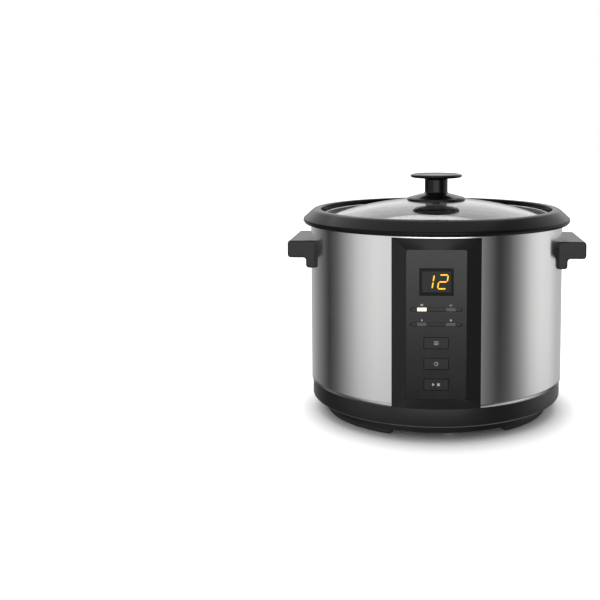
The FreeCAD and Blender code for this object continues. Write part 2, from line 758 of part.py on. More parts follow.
head_seat = leg(shell_inner, handle_screw_reach + screw_head_radius)
for side in (-1, 1):
    pocket(
        handle, "YZ_Plane", [(side * handle_screw_reach, grip_middle, screw_radius)],
        handle_screw_bite, head_seat, backwards=True,
    )
mirrored = doc.addObject("Part::Mirroring", "Mirrored")
mirrored.Source = handle
mirrored.Normal = Vector(1, 0, 0)
node(mirrored, "handle_left")
screws(
    "right_handle_screws", [(head_seat, side * handle_screw_reach, grip_middle) for side in (-1, 1)],
    Vector(1, 0, 0), handle_screw_bite,
)
screws(
    "left_handle_screws", [(-head_seat, side * handle_screw_reach, grip_middle) for side in (-1, 1)],
    Vector(-1, 0, 0), handle_screw_bite,
)

# Panel frame: a bevelled moulding. Its outer edge follows the shell's curve and its inner edge is
# flat, so each bevel is a ruled surface between the two.
panel_depth = size("panel_depth", 2.0)
panel_lip = size("panel_lip", 0.8)
side_bevel = size("side_bevel", 13.8)
end_bevel = size("end_bevel", 10.2)
frame_depth = size("frame_depth", 4.0)
plate_sheet = size("plate_sheet", 2.5)
panel_front = shell_radius + panel_depth
panel_half = panel_width / 2
lip_radius = shell_radius + panel_lip
plate_half = panel_half - side_bevel
plate_bottom = panel_bottom + end_bevel
plate_end = panel_top - end_bevel
plate_middle = (plate_bottom + plate_end) / 2
plate_tall = plate_end - plate_bottom


def bevelled_front():
    """The solid between the curved outer edge and the flat front."""
    half = panel_half.value
    depth = leg(lip_radius, panel_half).value
    flat_half = plate_half.value
    front = -panel_front.value
    curves = []
    flats = []
    for outer_z, inner_z in ((panel_bottom, plate_bottom), (panel_top, plate_end)):
        middle = Vector(0, -lip_radius.value, outer_z.value)
        start = Vector(-half, -depth, outer_z.value)
        stop = Vector(half, -depth, outer_z.value)
        curves.append(Part.Arc(start, middle, stop).toShape())
        flats.append(Part.makeLine(
            Vector(-flat_half, front, inner_z.value), Vector(flat_half, front, inner_z.value)
        ))
    faces = [Part.makeRuledSurface(curves[0], curves[1]), Part.makeRuledSurface(flats[0], flats[1])]
    faces += [Part.makeRuledSurface(curve, flat) for curve, flat in zip(curves, flats)]
    for end in (0, 1):
        outer = Part.makeLine(curves[0].Vertexes[end].Point, curves[1].Vertexes[end].Point)
        inner = Part.makeLine(flats[0].Vertexes[end].Point, flats[1].Vertexes[end].Point)
        faces.append(Part.makeRuledSurface(outer, inner))
    shell_of_faces = Part.makeShell(faces)
    shell_of_faces.sewShape()
    solid = Part.makeSolid(shell_of_faces)
    return solid if solid.Volume > 0 else solid.reversed()


bevels = doc.addObject("Part::Feature", "Bevels")
bevels.Shape = bevelled_front()
panel_tall = panel_top - panel_bottom
frame_tube = cut(
    rod(lip_radius, panel_tall, 0, 0, panel_bottom), rod(shell_radius, panel_tall, 0, 0, panel_bottom)
)
edge_block = box(panel_width, lip_radius, panel_tall, -panel_half, -lip_radius, panel_bottom)
edge_flange = common(frame_tube, edge_block)
neck_half = opening_half - hole_clearance
neck_low = opening_low + hole_clearance
neck_tall = opening_high - opening_low - hole_clearance * 2
neck_inner = shell_radius - frame_depth
neck_tube = cut(rod(lip_radius, neck_tall, 0, 0, neck_low), rod(neck_inner, neck_tall, 0, 0, neck_low))
neck = common(neck_tube, box(neck_half * 2, lip_radius, neck_tall, -neck_half, -lip_radius, neck_low))

# What the frame and the plate are pierced for: the display, two indicator slots, three buttons.
# They share the plate's height, and the spaces between them spread or close with it.
display_width = size("display_width", 31.4)
display_tall = size("display_tall", 25.5)
display_margin = size("display_margin", 16.75)
module_width = size("module_width", 25.2)
module_tall = size("module_tall", 19.0)
slot_wide = size("slot_wide", 47.7)
slot_tall = size("slot_tall", 3.5)
slot_margin = size("slot_margin", 11.1)
slot_space = size("slot_space", 10.3)
button_width = size("button_width", 22.2)
button_tall = size("button_tall", 10.1)
button_margin = size("button_margin", 10.6)
button_space = size("button_space", 9.3)
plate_margin = size("plate_margin", 8.75)
button_gap = size("button_gap", 0.5)
board_depth = size("board_depth", 12.5)
board_sheet = size("board_sheet", 1.6)
boss_radius = size("boss_radius", 3.2)
boss_inset = size("boss_inset", 5.0)
controls_tall = display_tall + slot_tall * 2 + button_tall * 3
spaces_tall = display_margin + slot_margin + slot_space + button_margin + button_space * 2 + plate_margin
spread = (plate_tall - controls_tall) / spaces_tall
display_z = plate_end - display_margin * spread - display_tall / 2
slot_pitch = slot_tall + slot_space * spread
button_pitch = button_tall + button_space * spread
upper_slot = display_z - display_tall / 2 - slot_margin * spread - slot_tall / 2
upper_button = upper_slot - slot_pitch - slot_tall / 2 - button_margin * spread - button_tall / 2
slot_heights = [upper_slot - slot_pitch * step for step in range(2)]
button_heights = [upper_button - button_pitch * step for step in range(3)]
plate_back = panel_front - plate_sheet
board_face = shell_radius - board_depth
board_width = plate_half * 2 - boss_inset * 0.4
boss_x = board_width / 2 - boss_inset
boss_heights = (plate_bottom + boss_inset, plate_end - boss_inset)
through_depth = panel_front - board_face
recess_width = plate_half * 2 + hole_clearance
recess_tall = plate_tall + hole_clearance
hole_width = button_width + button_gap * 2
hole_tall = button_tall + button_gap * 2
frame_cuts = [
    slab(recess_width, plate_sheet + 1, recess_tall, -panel_front - 1, plate_middle),
    slab(module_width + 1, through_depth, module_tall + 1, -plate_back - 0.1, display_z),
]
for height in slot_heights:
    frame_cuts.append(slab(slot_wide, through_depth, slot_tall, -plate_back - 0.1, height))
for height in button_heights:
    frame_cuts.append(slab(hole_width, through_depth, hole_tall, -plate_back - 0.1, height))
frame_body = cut(fused(bevels, edge_flange, neck), *frame_cuts)
bosses = []
board_spots = []
for height in boss_heights:
    for side in (-1, 1):
        boss_length = leg(shell_radius - frame_depth, boss_x + boss_radius) - board_face + 2
        boss = rod(boss_radius, boss_length, side * boss_x, -board_face, height, -INWARD)
        bosses.append(boss)
        board_spots.append((side * boss_x, -board_face + board_sheet, height))
boss_pilots = [
    rod(screw_radius, boss_radius * 2, x, -board_face, height, -INWARD) for x, _, height in board_spots
]
node(cut(fused(frame_body, *bosses), *boss_pilots), "panel_frame")

# Control plate: a thin flat cover in the frame's recess, pierced for the controls.
plate_round = size("plate_round", 2.0)
plate = new_body("control_plate")
plate_loop = rounded(-plate_half, plate_bottom, plate_half, plate_end, plate_round)
pad(plate, "XZ_Plane", [plate_loop], plate_sheet, plate_back)
window_loop = centred(display_width, display_tall, display_z, button_gap)
slot_loops = [centred(slot_wide, slot_tall, height, slot_tall * 0.45) for height in slot_heights]
button_loops = [centred(hole_width, hole_tall, height, button_gap) for height in button_heights]
pierced = [window_loop] + slot_loops + button_loops
pocket(plate, "XZ_Plane", pierced, plate_sheet, plate_back, backwards=True)

# Display: a tinted window on the frame's ledge, over a two-digit module on the control board.
window_recess = size("window_recess", 0.7)
window_sheet = plate_sheet - window_recess
window_width = display_width - fit_gap * 2
window_tall = display_tall - fit_gap * 2
node(slab(window_width, window_sheet, window_tall, -plate_back - window_sheet, display_z), "display_window")
module_gap = size("module_gap", 0.5)
node(slab(
    module_width, plate_back - module_gap - board_face, module_tall, -plate_back + module_gap, display_z
), "display_module")

# Indicators: four light pipes that stand on the control board and end in the two slots, which
# plain bars on the same board fill between them.
lamp_width = size("lamp_width", 8.5)
lamp_reach = size("lamp_reach", 13.3)
lamp_recess = size("lamp_recess", 0.3)
bar_gap = size("bar_gap", 0.35)
bar_end_gap = size("bar_end_gap", 0.85)
bar_recess = size("bar_recess", 0.4)
lamp_tall = slot_tall - hole_clearance * 2
lamp_depth = panel_front - lamp_recess - board_face
bar_width = slot_wide - bar_end_gap * 2
bar_tall = slot_tall - bar_gap * 2
bar_depth = panel_front - bar_recess - board_face
lamp_seat = lamp_width + fit_gap * 2
lamps = []
bars = []
for height in slot_heights:
    seats = []
    for side in (-1, 1):
        lamps.append(box(
            lamp_width, lamp_depth, lamp_tall,
            side * lamp_reach - lamp_width / 2, -panel_front + lamp_recess, height - lamp_tall / 2,
        ))
        seats.append(box(
            lamp_seat, bar_depth, slot_tall,
            side * lamp_reach - lamp_seat / 2, -panel_front + bar_recess, height - slot_tall / 2,
        ))
    bars.append(cut(slab(bar_width, bar_depth, bar_tall, -panel_front + bar_recess, height), *seats))
node(lamps[0], "indicator_lamp_lit")
node(group(*lamps[1:]), "indicator_lamps")
node(group(*bars), "indicator_bars")

# Control board, its screws, three switches and the buttons that press them.
switch_side = size("switch_side", 6.0)
switch_depth = size("switch_depth", 3.6)
plunger_radius = size("plunger_radius", 1.7)
plunger_length = size("plunger_length", 1.0)
button_travel = size("button_travel", 0.8)
stem_width = size("stem_width", 8.0)
stem_tall = size("stem_tall", 5.0)
button_sheet = size("button_sheet", 2.4)
board_blank = slab(board_width, board_sheet, plate_tall - hole_clearance, -board_face, plate_middle)
board_holes = [
    rod(screw_hole, board_sheet, x, -board_face, height, INWARD) for x, _, height in board_spots
]
node(cut(board_blank, *board_holes), "control_board")
screws("control_board_screws", board_spots, -INWARD, board_sheet + boss_radius * 2)
switches = []
for height in button_heights:
    switches.append(fused(
        slab(switch_side, switch_depth, switch_side, -board_face - switch_depth, height),
        rod(plunger_radius, plunger_length, 0, -board_face - switch_depth, height, -INWARD),
    ))
node(group(*switches), "button_switches")
plunger_tip = board_face + switch_depth + plunger_length
stem_tip = plunger_tip + button_travel + fit_gap
button_face = plate_back + button_sheet
for label, height in zip(("button_upper", "button_middle", "button_lower"), button_heights):
    node(fused(
        slab(button_width, button_sheet, button_tall, -button_face, height),
        slab(stem_width, plate_back - stem_tip, stem_tall, -plate_back, height),
    ), label)

# Power board: on four standoffs on the bottom cover, with a relay, a transformer and a ribbon.
power_width = size("power_width", 92.0)
power_depth = size("power_depth", 58.0)
power_y = size("power_y", 22.0)
standoff_height = size("standoff_height", 8.0)
standoff_radius = size("standoff_radius", 3.2)
standoff_inset = size("standoff_inset", 5.0)
relay_width = size("relay_width", 20.0)
relay_depth = size("relay_depth", 16.0)
relay_height = size("relay_height", 16.0)
relay_x = size("relay_x", 14.0)
transformer_width = size("transformer_width", 30.0)
transformer_depth = size("transformer_depth", 26.0)
transformer_height = size("transformer_height", 20.0)
transformer_x = size("transformer_x", 6.0)
power_low = ledge_z + standoff_height
power_top = power_low + board_sheet
standoff_x = power_width / 2 - standoff_inset
standoff_y = power_depth / 2 - standoff_inset
standoff_spots = [(side * standoff_x, power_y + end * standoff_y) for side in (-1, 1) for end in (-1, 1)]
power_front = power_y - power_depth / 2
power_blank = box(power_width, power_depth, board_sheet, -power_width / 2, power_front, power_low)
power_holes = [rod(screw_hole, board_sheet, x, y, power_low) for x, y in standoff_spots]
node(cut(power_blank, *power_holes), "power_board")
standoffs = []
for x, y in standoff_spots:
    post = rod(standoff_radius, standoff_height, x, y, ledge_z)
    standoffs.append(cut(post, rod(screw_radius, standoff_height, x, y, ledge_z)))
node(group(*standoffs), "board_standoffs")
screws(
    "power_board_screws", [(x, y, power_top) for x, y in standoff_spots], DOWN,
    board_sheet + standoff_height - 1,
)
node(box(relay_width, relay_depth, relay_height, relay_x, power_y, power_top), "power_relay")
node(box(
    transformer_width, transformer_depth, transformer_height,
    -transformer_x - transformer_width, power_y - transformer_depth / 3, power_top,
), "power_transformer")
ribbon_width = size("ribbon_width", 12.0)
ribbon_sheet = size("ribbon_sheet", 0.8)
ribbon_x = size("ribbon_x", 16.0)
ribbon_reach = size("ribbon_reach", 8.0)
connector_depth = size("connector_depth", 6.0)
connector_height = size("connector_height", 8.0)
ribbon_back = board_face - board_sheet
ribbon_low = power_top + connector_height
ribbon_tall = plate_bottom + ribbon_reach - ribbon_low
ribbon_run = power_front + connector_depth + ribbon_back
node(
    box(ribbon_width, connector_depth, connector_height, -ribbon_x, power_front, power_top),
    "ribbon_connector",
)
node(fused(
    box(ribbon_width, ribbon_sheet, ribbon_tall, -ribbon_x, -ribbon_back, ribbon_low),
    box(ribbon_width, ribbon_run, ribbon_sheet, -ribbon_x, -ribbon_back, ribbon_low),
), "panel_ribbon")

# Inlet: a moulded appliance socket at the back, screwed to the shell, with three pins.
inlet_margin = size("inlet_margin", 6.0)
inlet_proud = size("inlet_proud", 4.0)
inlet_depth = size("inlet_depth", 17.0)
cavity_width = size("cavity_width", 26.0)
cavity_tall = size("cavity_tall", 16.0)
cavity_depth = size("cavity_depth", 15.5)
pin_thickness = size("pin_thickness", 2.0)
pin_tall = size("pin_tall", 4.0)
pin_pitch = size("pin_pitch", 7.0)
pin_recess = size("pin_recess", 3.0)
inlet_front = shell_radius + inlet_proud
inlet_back = inlet_front - inlet_depth
flange_reach = inlet_width / 2 + inlet_margin
flange_back = leg(shell_radius, flange_reach) - 1
flange_depth = inlet_front - flange_back
inlet_flange = cut(
    slab(flange_reach * 2, flange_depth, inlet_tall + inlet_margin, flange_back, inlet_height),
    rod(shell_radius, inlet_tall * 2, 0, 0, inlet_height - inlet_tall),
)
neck_wide = inlet_width - hole_clearance * 2
neck_high = inlet_tall - hole_clearance * 2
inlet_neck = slab(neck_wide, inlet_depth - 1, neck_high, inlet_back, inlet_height)
cavity_floor = inlet_front - cavity_depth
inlet_cavity = slab(cavity_width, cavity_depth + 1, cavity_tall, cavity_floor, inlet_height)
inlet_bores = [
    rod(screw_radius, inlet_depth, side * inlet_screw_reach, inlet_front, inlet_height, -INWARD)
    for side in (-1, 1)
]
node(cut(fused(inlet_flange, inlet_neck), inlet_cavity, *inlet_bores), "inlet_socket")
pin_length = cavity_depth - pin_recess
pins = []
for step, rise in ((-1, -0.5), (0, 0.5), (1, -0.5)):
    pin_x = step * pin_pitch - pin_thickness / 2
    pin_z = inlet_height + (rise - 0.5) * pin_tall
    pins.append(box(pin_thickness, pin_length, pin_tall, pin_x, cavity_floor, pin_z))
node(group(*pins), "inlet_pins")
inlet_screw_length = size("inlet_screw_length", 9.0)
screws(
    "inlet_screws", [(side * inlet_screw_reach, inlet_front, inlet_height) for side in (-1, 1)],
    -INWARD, inlet_screw_length,
)

# Check every object, then write each sub-part to its own file.
doc.recompute()
for item in doc.Objects:
    if "Invalid" in item.State or "Error" in item.State:
        raise RuntimeError(f"{item.Label} ({item.Name}) failed: {item.State}")
labels = [item.Label for item in nodes]
if len(set(labels)) != len(labels):
    raise RuntimeError("two sub-parts share a name")
for item in nodes:
    if item.Shape.isNull() or not item.Shape.isValid():
        raise RuntimeError(f"{item.Label} has no valid shape")
os.makedirs("parts", exist_ok=True)
for item in nodes:
    item.Shape.exportStep(f"parts/{item.Label}.step")
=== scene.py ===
import math

import bmesh
import bpy
import numpy as np
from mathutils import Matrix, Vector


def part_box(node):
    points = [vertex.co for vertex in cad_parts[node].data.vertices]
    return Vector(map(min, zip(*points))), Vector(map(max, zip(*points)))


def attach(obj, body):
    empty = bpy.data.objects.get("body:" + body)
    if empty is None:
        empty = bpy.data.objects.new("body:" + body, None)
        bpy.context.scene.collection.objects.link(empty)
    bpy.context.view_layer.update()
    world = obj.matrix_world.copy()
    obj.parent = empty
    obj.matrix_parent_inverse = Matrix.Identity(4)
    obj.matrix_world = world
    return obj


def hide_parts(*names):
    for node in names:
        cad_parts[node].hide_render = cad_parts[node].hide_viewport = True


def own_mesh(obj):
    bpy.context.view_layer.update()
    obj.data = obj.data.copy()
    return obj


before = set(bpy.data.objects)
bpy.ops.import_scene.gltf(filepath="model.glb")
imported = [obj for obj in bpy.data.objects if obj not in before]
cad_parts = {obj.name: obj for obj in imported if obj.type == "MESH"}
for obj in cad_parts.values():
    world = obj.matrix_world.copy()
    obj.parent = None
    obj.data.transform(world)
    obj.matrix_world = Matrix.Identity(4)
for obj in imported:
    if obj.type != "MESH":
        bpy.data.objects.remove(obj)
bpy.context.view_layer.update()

# ---- View ----
# A lens a little longer than normal stands a metre in front of the cooker, just above
# its lid, and the frame is shifted so that the cooker stands right of the middle.
lens = bpy.data.cameras.new("lens")
lens.sensor_width = 36
lens.lens = 56.20
lens.shift_x = -0.16
lens.shift_y = -0.17
lens.clip_start = 0.01
viewer = bpy.data.objects.new("viewer", lens)
viewer.location = (-0.00428, -0.97777, 0.30104)
viewer.rotation_euler = (math.radians(90 - 4.885), 0, math.radians(2.213))
bpy.context.collection.objects.link(viewer)
bpy.context.scene.camera = viewer
bpy.context.scene.view_settings.view_transform = "Standard"


# ---- Studio floor ----
# A white table top that glows from below, with the glow faded out under and just round the cooker, which
# paints a tight shadow at its foot: it is matt, with a very faint unevenness in the paint, and it runs out
# past the view's edge.
class Wire:
    """A node's output that adds a Math node for each arithmetic operator used on it."""

    def __init__(self, shader, socket):
        self.shader = shader
        self.socket = socket

    def maths(self, operation, *values):
        return self.shader.node("Math", {"operation": operation}, *values)

    def __add__(self, other):
        return self.maths("ADD", self, other)

    def __radd__(self, other):
        return self.maths("ADD", other, self)

    def __rsub__(self, other):
        return self.maths("SUBTRACT", other, self)

    def __mul__(self, other):
        return self.maths("MULTIPLY", self, other)

    def __truediv__(self, other):
        return self.maths("DIVIDE", self, other)

    def __gt__(self, other):
        return self.maths("GREATER_THAN", self, other)

    def __lt__(self, other):
        return self.maths("LESS_THAN", self, other)


class Finish:
    """A material, or the world, whose node tree is filled through one method."""

    def __init__(self, name, owner=None):
        self.owner = owner or bpy.data.materials.new(name)
        self.owner.use_nodes = True
        self.tree = self.owner.node_tree
        self.tree.nodes.clear()

    def node(self, kind, settings=None, *values, output=0, **named):
        """Adds a ShaderNode of the kind, applies its settings, then fills its sockets.

        Settings are attributes, or "stops" for a ramp: pairs of a place and a colour.
        Values go to the sockets in order, where None leaves one as it is, and named ones go
        by the socket's own name.
        """
        made = self.tree.nodes.new("ShaderNode" + kind)
        for key, value in (settings or {}).items():
            if key == "stops":
                ramp = made.color_ramp.elements
                while len(ramp) > 1:
                    ramp.remove(ramp[-1])
                for index, (place, colour) in enumerate(value):
                    stop = ramp[0] if index == 0 else ramp.new(place)
                    stop.position = place
                    stop.color = colour if hasattr(colour, "__len__") else (colour, colour, colour, 1)
            else:
                setattr(made, key, value)
        pairs = list(enumerate(values))
        pairs += [(key.replace("_", " "), value) for key, value in named.items()]
        for key, value in pairs:
            if isinstance(value, Wire):
                self.tree.links.new(value.socket, made.inputs[key])
            elif value is not None:
                made.inputs[key].default_value = value
        return Wire(self, made.outputs[output]) if made.outputs else None

    def place(self):
        """The point on the object, in metres."""
        return self.node("TexCoord", output="Object")

    def axes(self, point):
        """The x, y and z of a point."""
        parted = self.node("SeparateXYZ", None, point).socket.node
        return [Wire(self, part) for part in parted.outputs]

    def radius(self, point):
        """How far a point is from the Z axis."""
        level_point = self.node("Mapping", None, point, Scale=(1, 1, 0))
        return self.node("VectorMath", {"operation": "LENGTH"}, level_point, output=1)

    def fade(self, amount, start, stop, low=0.0, high=1.0):
        """A smooth step from low to high as the amount goes from start to stop."""
        return self.node("MapRange", {"interpolation_type": "SMOOTHSTEP"}, amount, start, stop, low, high)

    def waves(self, amount):
        """A sine of the amount, raised to run from 0 to 1."""
        return self.node("Math", {"operation": "SINE"}, amount) * 0.5 + 0.5

    def grain(self, scale, detail=2.0, stretch=(1, 1, 1), **more):
        """Soft noise from 0 to 1 with about scale lumps a metre, squeezed along each axis."""
        spot = self.node("Mapping", None, self.place(), Scale=stretch)
        return self.node("TexNoise", None, spot, Scale=scale, Detail=detail, **more)

    def blend(self, amount, low, high):
        """A colour from low to high as the amount goes from 0 to 1."""
        colour = {"data_type": "RGBA"}
        sockets_of_other_types = [None] * 5
        return self.node("Mix", colour, amount, *sockets_of_other_types, low, high, output=2)

    def ramp(self, amount, *stops):
        """A ramp's colour, from pairs of a place and a colour or a grey."""
        return self.node("ValToRGB", {"stops": stops}, amount)

    def bump(self, height, distance, strength=1.0):
        """A normal tilted by a height from 0 to 1 that stands for the distance in metres."""
        return self.node("Bump", None, Height=height, Distance=distance, Strength=strength)

    def surface(self, **sockets):
        """Ends the material in a principled shader with these sockets."""
        shade = self.node("BsdfPrincipled", None, **sockets)
        self.node("OutputMaterial", None, shade)
        return self.owner


def grid_mesh(name, points, wrap_u=False, wrap_v=False, keep=None):
    """A mesh of quads through a grid of points, rows along u and columns along v.

    Each quad joins point (u, v) to its neighbours (u+1, v), (u+1, v+1) and (u, v+1); a
    wrapped direction also joins its last row or column to its first. Keep masks quads.
    """
    rows, columns = points.shape[:2]
    number = np.arange(rows * columns).reshape(rows, columns)
    if wrap_u:
        number = np.vstack([number, number[:1]])
    if wrap_v:
        number = np.hstack([number, number[:, :1]])
    quads = np.stack([number[:-1, :-1], number[1:, :-1], number[1:, 1:], number[:-1, 1:]], axis=-1)
    quads = quads[keep] if keep is not None else quads.reshape(-1, 4)
    mesh = bpy.data.meshes.new(name)
    mesh.from_pydata(points.reshape(-1, 3), [], quads.tolist())
    return mesh


def tidy_mesh(mesh, outwards=True, merge=1e-6):
    """Merges doubled points, drops loose ones and turns the faces outwards."""
    work = bmesh.new()
    work.from_mesh(mesh)
    bmesh.ops.remove_doubles(work, verts=work.verts, dist=merge)
    bmesh.ops.dissolve_degenerate(work, edges=work.edges, dist=merge)
    bmesh.ops.delete(work, geom=[v for v in work.verts if not v.link_faces], context="VERTS")
    if outwards:
        bmesh.ops.recalc_face_normals(work, faces=work.faces)
    work.to_mesh(mesh)
    work.free()
    return mesh


def piece(name, mesh, finish, smooth=35):
    """An object at the origin with one material, shaded smooth up to an angle."""
    made = bpy.data.objects.new(name, mesh)
    bpy.context.collection.objects.link(made)
    mesh.materials.clear()
    mesh.materials.append(finish)
    mesh.polygons.foreach_set("use_smooth", np.ones(len(mesh.polygons), bool))
    if smooth < 180:
        mesh.set_sharp_from_angle(angle=math.radians(smooth))
    mesh.update()
    return made


paint = Finish("floor_paint")
patches = paint.grain(9.0, 3.0)
# Painted shadow: the floor's glow fades out between 0.108 and 0.165 m from the axis, which darkens the floor
# round the cooker's foot.
beyond_painted_shadow = paint.fade(paint.radius(paint.place()), 0.108, 0.165)
floor_white = paint.surface(
    Base_Color=paint.blend(patches, (0.93, 0.93, 0.93, 1), (0.96, 0.96, 0.96, 1)),
    Emission_Color=paint.blend(beyond_painted_shadow, (0, 0, 0, 1), (1, 1, 1, 1)),
    Emission_Strength=0.52,
    Roughness=0.55 + patches * 0.1,
    Specular_IOR_Level=0.25,
)
floor_half = 6.0
edge_to_edge = np.linspace(-floor_half, floor_half, 13)
across, along = np.meshgrid(edge_to_edge, edge_to_edge, indexing="ij")
floor_points = np.stack([across, along, np.zeros_like(across)], -1)
floor = piece("studio_floor", grid_mesh("studio_floor", floor_points), floor_white)
floor.visible_glossy = False

# ---- Studio light ----
# Pale walls all round with darker gaps between them, which brushed steel shows as tall
# soft bands, a brighter wall in front, a dim band low down with the table's glow under
# it, a wide lamp overhead, and plain white where the walls are seen direct.
studio = Finish("studio", bpy.context.scene.world or bpy.data.worlds.new("studio"))
bpy.context.scene.world = studio.owner
ray_x, ray_y, ray_z = studio.axes(studio.node("TexCoord", output="Generated"))
turn = studio.node("Math", {"operation": "ARCTAN2"}, ray_x, ray_y * -1) / (2 * math.pi) + 0.5
WALLS = [(-180, 0.55), (-155, 0.46), (-133, 0.22), (-112, 0.02), (-98, 0.13), (-86, 0.36), (-72, 0.68),
         (-56, 0.86), (-38, 0.82), (-14, 0.60), (12, 0.40), (30, 0.42), (42, 0.20), (57, 0.02), (68, 0.10),
         (80, 0.33), (94, 0.72), (106, 0.86), (122, 0.80), (138, 0.55), (152, 0.50), (180, 0.55)]
walls = studio.ramp(turn, *[((angle + 180) / 360, shade) for angle, shade in WALLS])
high_behind = studio.fade(ray_z, 0.02, 0.20) * studio.fade(ray_y, -0.2, 0.6)
rear_wall = studio.blend(high_behind, walls, (1.02, 1.02, 1.02, 1))
front = studio.fade(ray_y * -1, 0.80, 0.96)
front_glow = studio.fade(ray_z, -0.31, -0.10)
front_wall = studio.blend(front_glow, (0.0, 0.0, 0.0, 1), (2.3, 2.3, 2.3, 1))
level_light = studio.blend(front * (ray_z < 0.25), rear_wall, front_wall)
dim_band = studio.blend(studio.fade(ray_z, -0.26, -0.42), level_light, (0.10, 0.10, 0.10, 1))
low_light = studio.blend(studio.fade(ray_z, -0.44, -0.66, 0.0, 0.8), dim_band, walls)
around_us = studio.blend(studio.fade(ray_z, 0.55, 0.9), low_light, (0.50, 0.50, 0.50, 1))
seen = studio.node("LightPath", output="Is Camera Ray")
sky = studio.blend(seen, around_us, (1.0, 1.0, 1.0, 1))
studio.node("OutputWorld", None, studio.node("Background", None, sky, 1.0))

overhead_lamp = bpy.data.lights.new("overhead_lamp", "SUN")
overhead_lamp.angle = math.radians(70)
overhead_lamp.energy = 1.35
softbox = bpy.data.objects.new("softbox", overhead_lamp)
softbox.location = (0, 0, 2)
softbox.rotation_euler = (math.radians(-24), math.radians(-8), 0)
bpy.context.collection.objects.link(softbox)


# ---- Outer shell ----
# A sheet of stainless steel 0.6 mm thick, rolled into a tube, with a window cut for the
# control panel and one for the mains inlet; its brushing runs round the cooker.
def turned(name, profile, steps=256, closed=False):
    """A surface of revolution about Z: each (radius, height) turns through the full circle."""
    outline = np.array(profile, float)
    angle = np.linspace(0, 2 * math.pi, steps, endpoint=False)
    ring = np.stack([np.cos(angle), np.sin(angle)], -1)
    levels = np.broadcast_to(outline[:, None, 1:], (len(outline), steps, 1))
    points = np.concatenate([outline[:, None, :1] * ring[None], levels], -1)
    return tidy_mesh(grid_mesh(name, points, wrap_u=closed, wrap_v=True))


def solidify(made, thickness, offset=-1.0):
    """Gives a sheet its wall inwards from its outer face."""
    wall = made.modifiers.new("wall", "SOLIDIFY")
    wall.thickness = thickness
    wall.offset = offset
    return made


def steel_finish(name, depth, streak, dark, bright):
    """Brushed stainless: fine lines round the axis in height and gloss, and a long soft grain."""
    steel = Finish(name)
    x, y, height = steel.axes(steel.place())
    turned_by = steel.node("Math", {"operation": "ARCTAN2"}, x, y)
    unrolled = steel.node("CombineXYZ", None, turned_by * streak, height * depth)
    lines = steel.node("TexNoise", None, unrolled, Scale=1.0, Detail=3.0, Roughness=0.65)
    broad = steel.grain(26.0, 2.0, (1, 1, 2.5))
    return steel.surface(
        Base_Color=steel.blend(lines * 0.6 + broad * 0.4, dark, bright),
        Metallic=1.0,
        Roughness=0.15 + lines * 0.07 + broad * 0.03,
        Anisotropic=0.75,
        Anisotropic_Rotation=0.25,
        Normal=steel.bump(lines, 0.000005, 0.25),
    )


shell_low, shell_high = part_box("outer_shell")
shell_radius = shell_high.x
shell_wall = 0.0006
brushed_steel = steel_finish("brushed_steel", 6500.0, 1.4, (0.80, 0.80, 0.795, 1), (0.87, 0.87, 0.865, 1))
window_half, window_low, window_high = 0.038, 0.0358, 0.1881
inlet_half, inlet_low, inlet_high = 0.017, 0.040, 0.064
heights = np.unique(np.round(np.concatenate([
    np.linspace(shell_low.z, shell_high.z, 45), [window_low, window_high, inlet_low, inlet_high]
]), 6))
window_turn = math.asin(window_half / shell_radius)
inlet_turn = math.asin(inlet_half / shell_radius)
turns = np.unique(np.round(np.concatenate([
    np.linspace(-math.pi, math.pi, 289)[:-1],
    [-window_turn, window_turn, math.pi - inlet_turn, inlet_turn - math.pi],
]), 9))
level, turned_by = np.meshgrid(heights, turns, indexing="ij")
shell_points = np.stack([
    shell_radius * np.sin(turned_by), -shell_radius * np.cos(turned_by), level
], -1)
middle_level = (heights[:-1] + heights[1:])[:, None] / 2
middle_turn = (turns + np.append(turns[1:], turns[0] + 2 * math.pi))[None] / 2
in_window = (abs(middle_turn) < window_turn) & (middle_level > window_low) & (middle_level < window_high)
at_the_back = abs(abs(middle_turn) - math.pi) < inlet_turn
in_inlet = at_the_back & (middle_level > inlet_low) & (middle_level < inlet_high)
shell_sheet = grid_mesh("shell_sheet", shell_points, wrap_v=True, keep=~(in_window | in_inlet))
shell = solidify(piece("brushed_shell", tidy_mesh(shell_sheet, outwards=False), brushed_steel), shell_wall)
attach(shell, "housing")
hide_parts("outer_shell")


# ---- Base and feet ----
# A black moulding with a recessed skirt and three pillars inside, a grey slotted cover
# screwed up under it, and three soft rubber arcs pressed on under the skirt.
def soften(corners, radius, steps=5):
    """A closed outline whose corners are each replaced by a parabola tangent to both sides.

    The curve leaves each side at the radius times the corner's tightness, but never past
    0.45 of the side: P = (1-t)^2 A + 2t(1-t) C + t^2 B from A, round the corner C, to B.
    """
    middle = np.array(corners, float)
    radius = np.broadcast_to(np.array(radius, float), (len(middle),))[:, None]
    back, ahead = np.roll(middle, 1, 0) - middle, np.roll(middle, -1, 0) - middle
    back_length = np.linalg.norm(back, axis=1, keepdims=True)
    ahead_length = np.linalg.norm(ahead, axis=1, keepdims=True)
    cosine = (back * ahead).sum(1, keepdims=True) / (back_length * ahead_length)
    reach = radius * np.sqrt((1 + cosine) / np.maximum(1 - cosine, 1e-9))
    start = middle + back / back_length * np.minimum(reach, 0.45 * back_length)
    end = middle + ahead / ahead_length * np.minimum(reach, 0.45 * ahead_length)
    t = np.linspace(0, 1, steps)[None, :, None]
    curve = (1 - t) ** 2 * start[:, None] + 2 * t * (1 - t) * middle[:, None] + t ** 2 * end[:, None]
    return curve.reshape(-1, 2)


def millimetres(pairs):
    """Pairs in millimetres as an array in metres."""
    return np.array(pairs, float) / 1000


def joined(name, *meshes):
    """One mesh that holds all the given ones."""
    work = bmesh.new()
    for mesh in meshes:
        work.from_mesh(mesh)
        bpy.data.meshes.remove(mesh)
    whole = bpy.data.meshes.new(name)
    work.to_mesh(whole)
    work.free()
    return whole


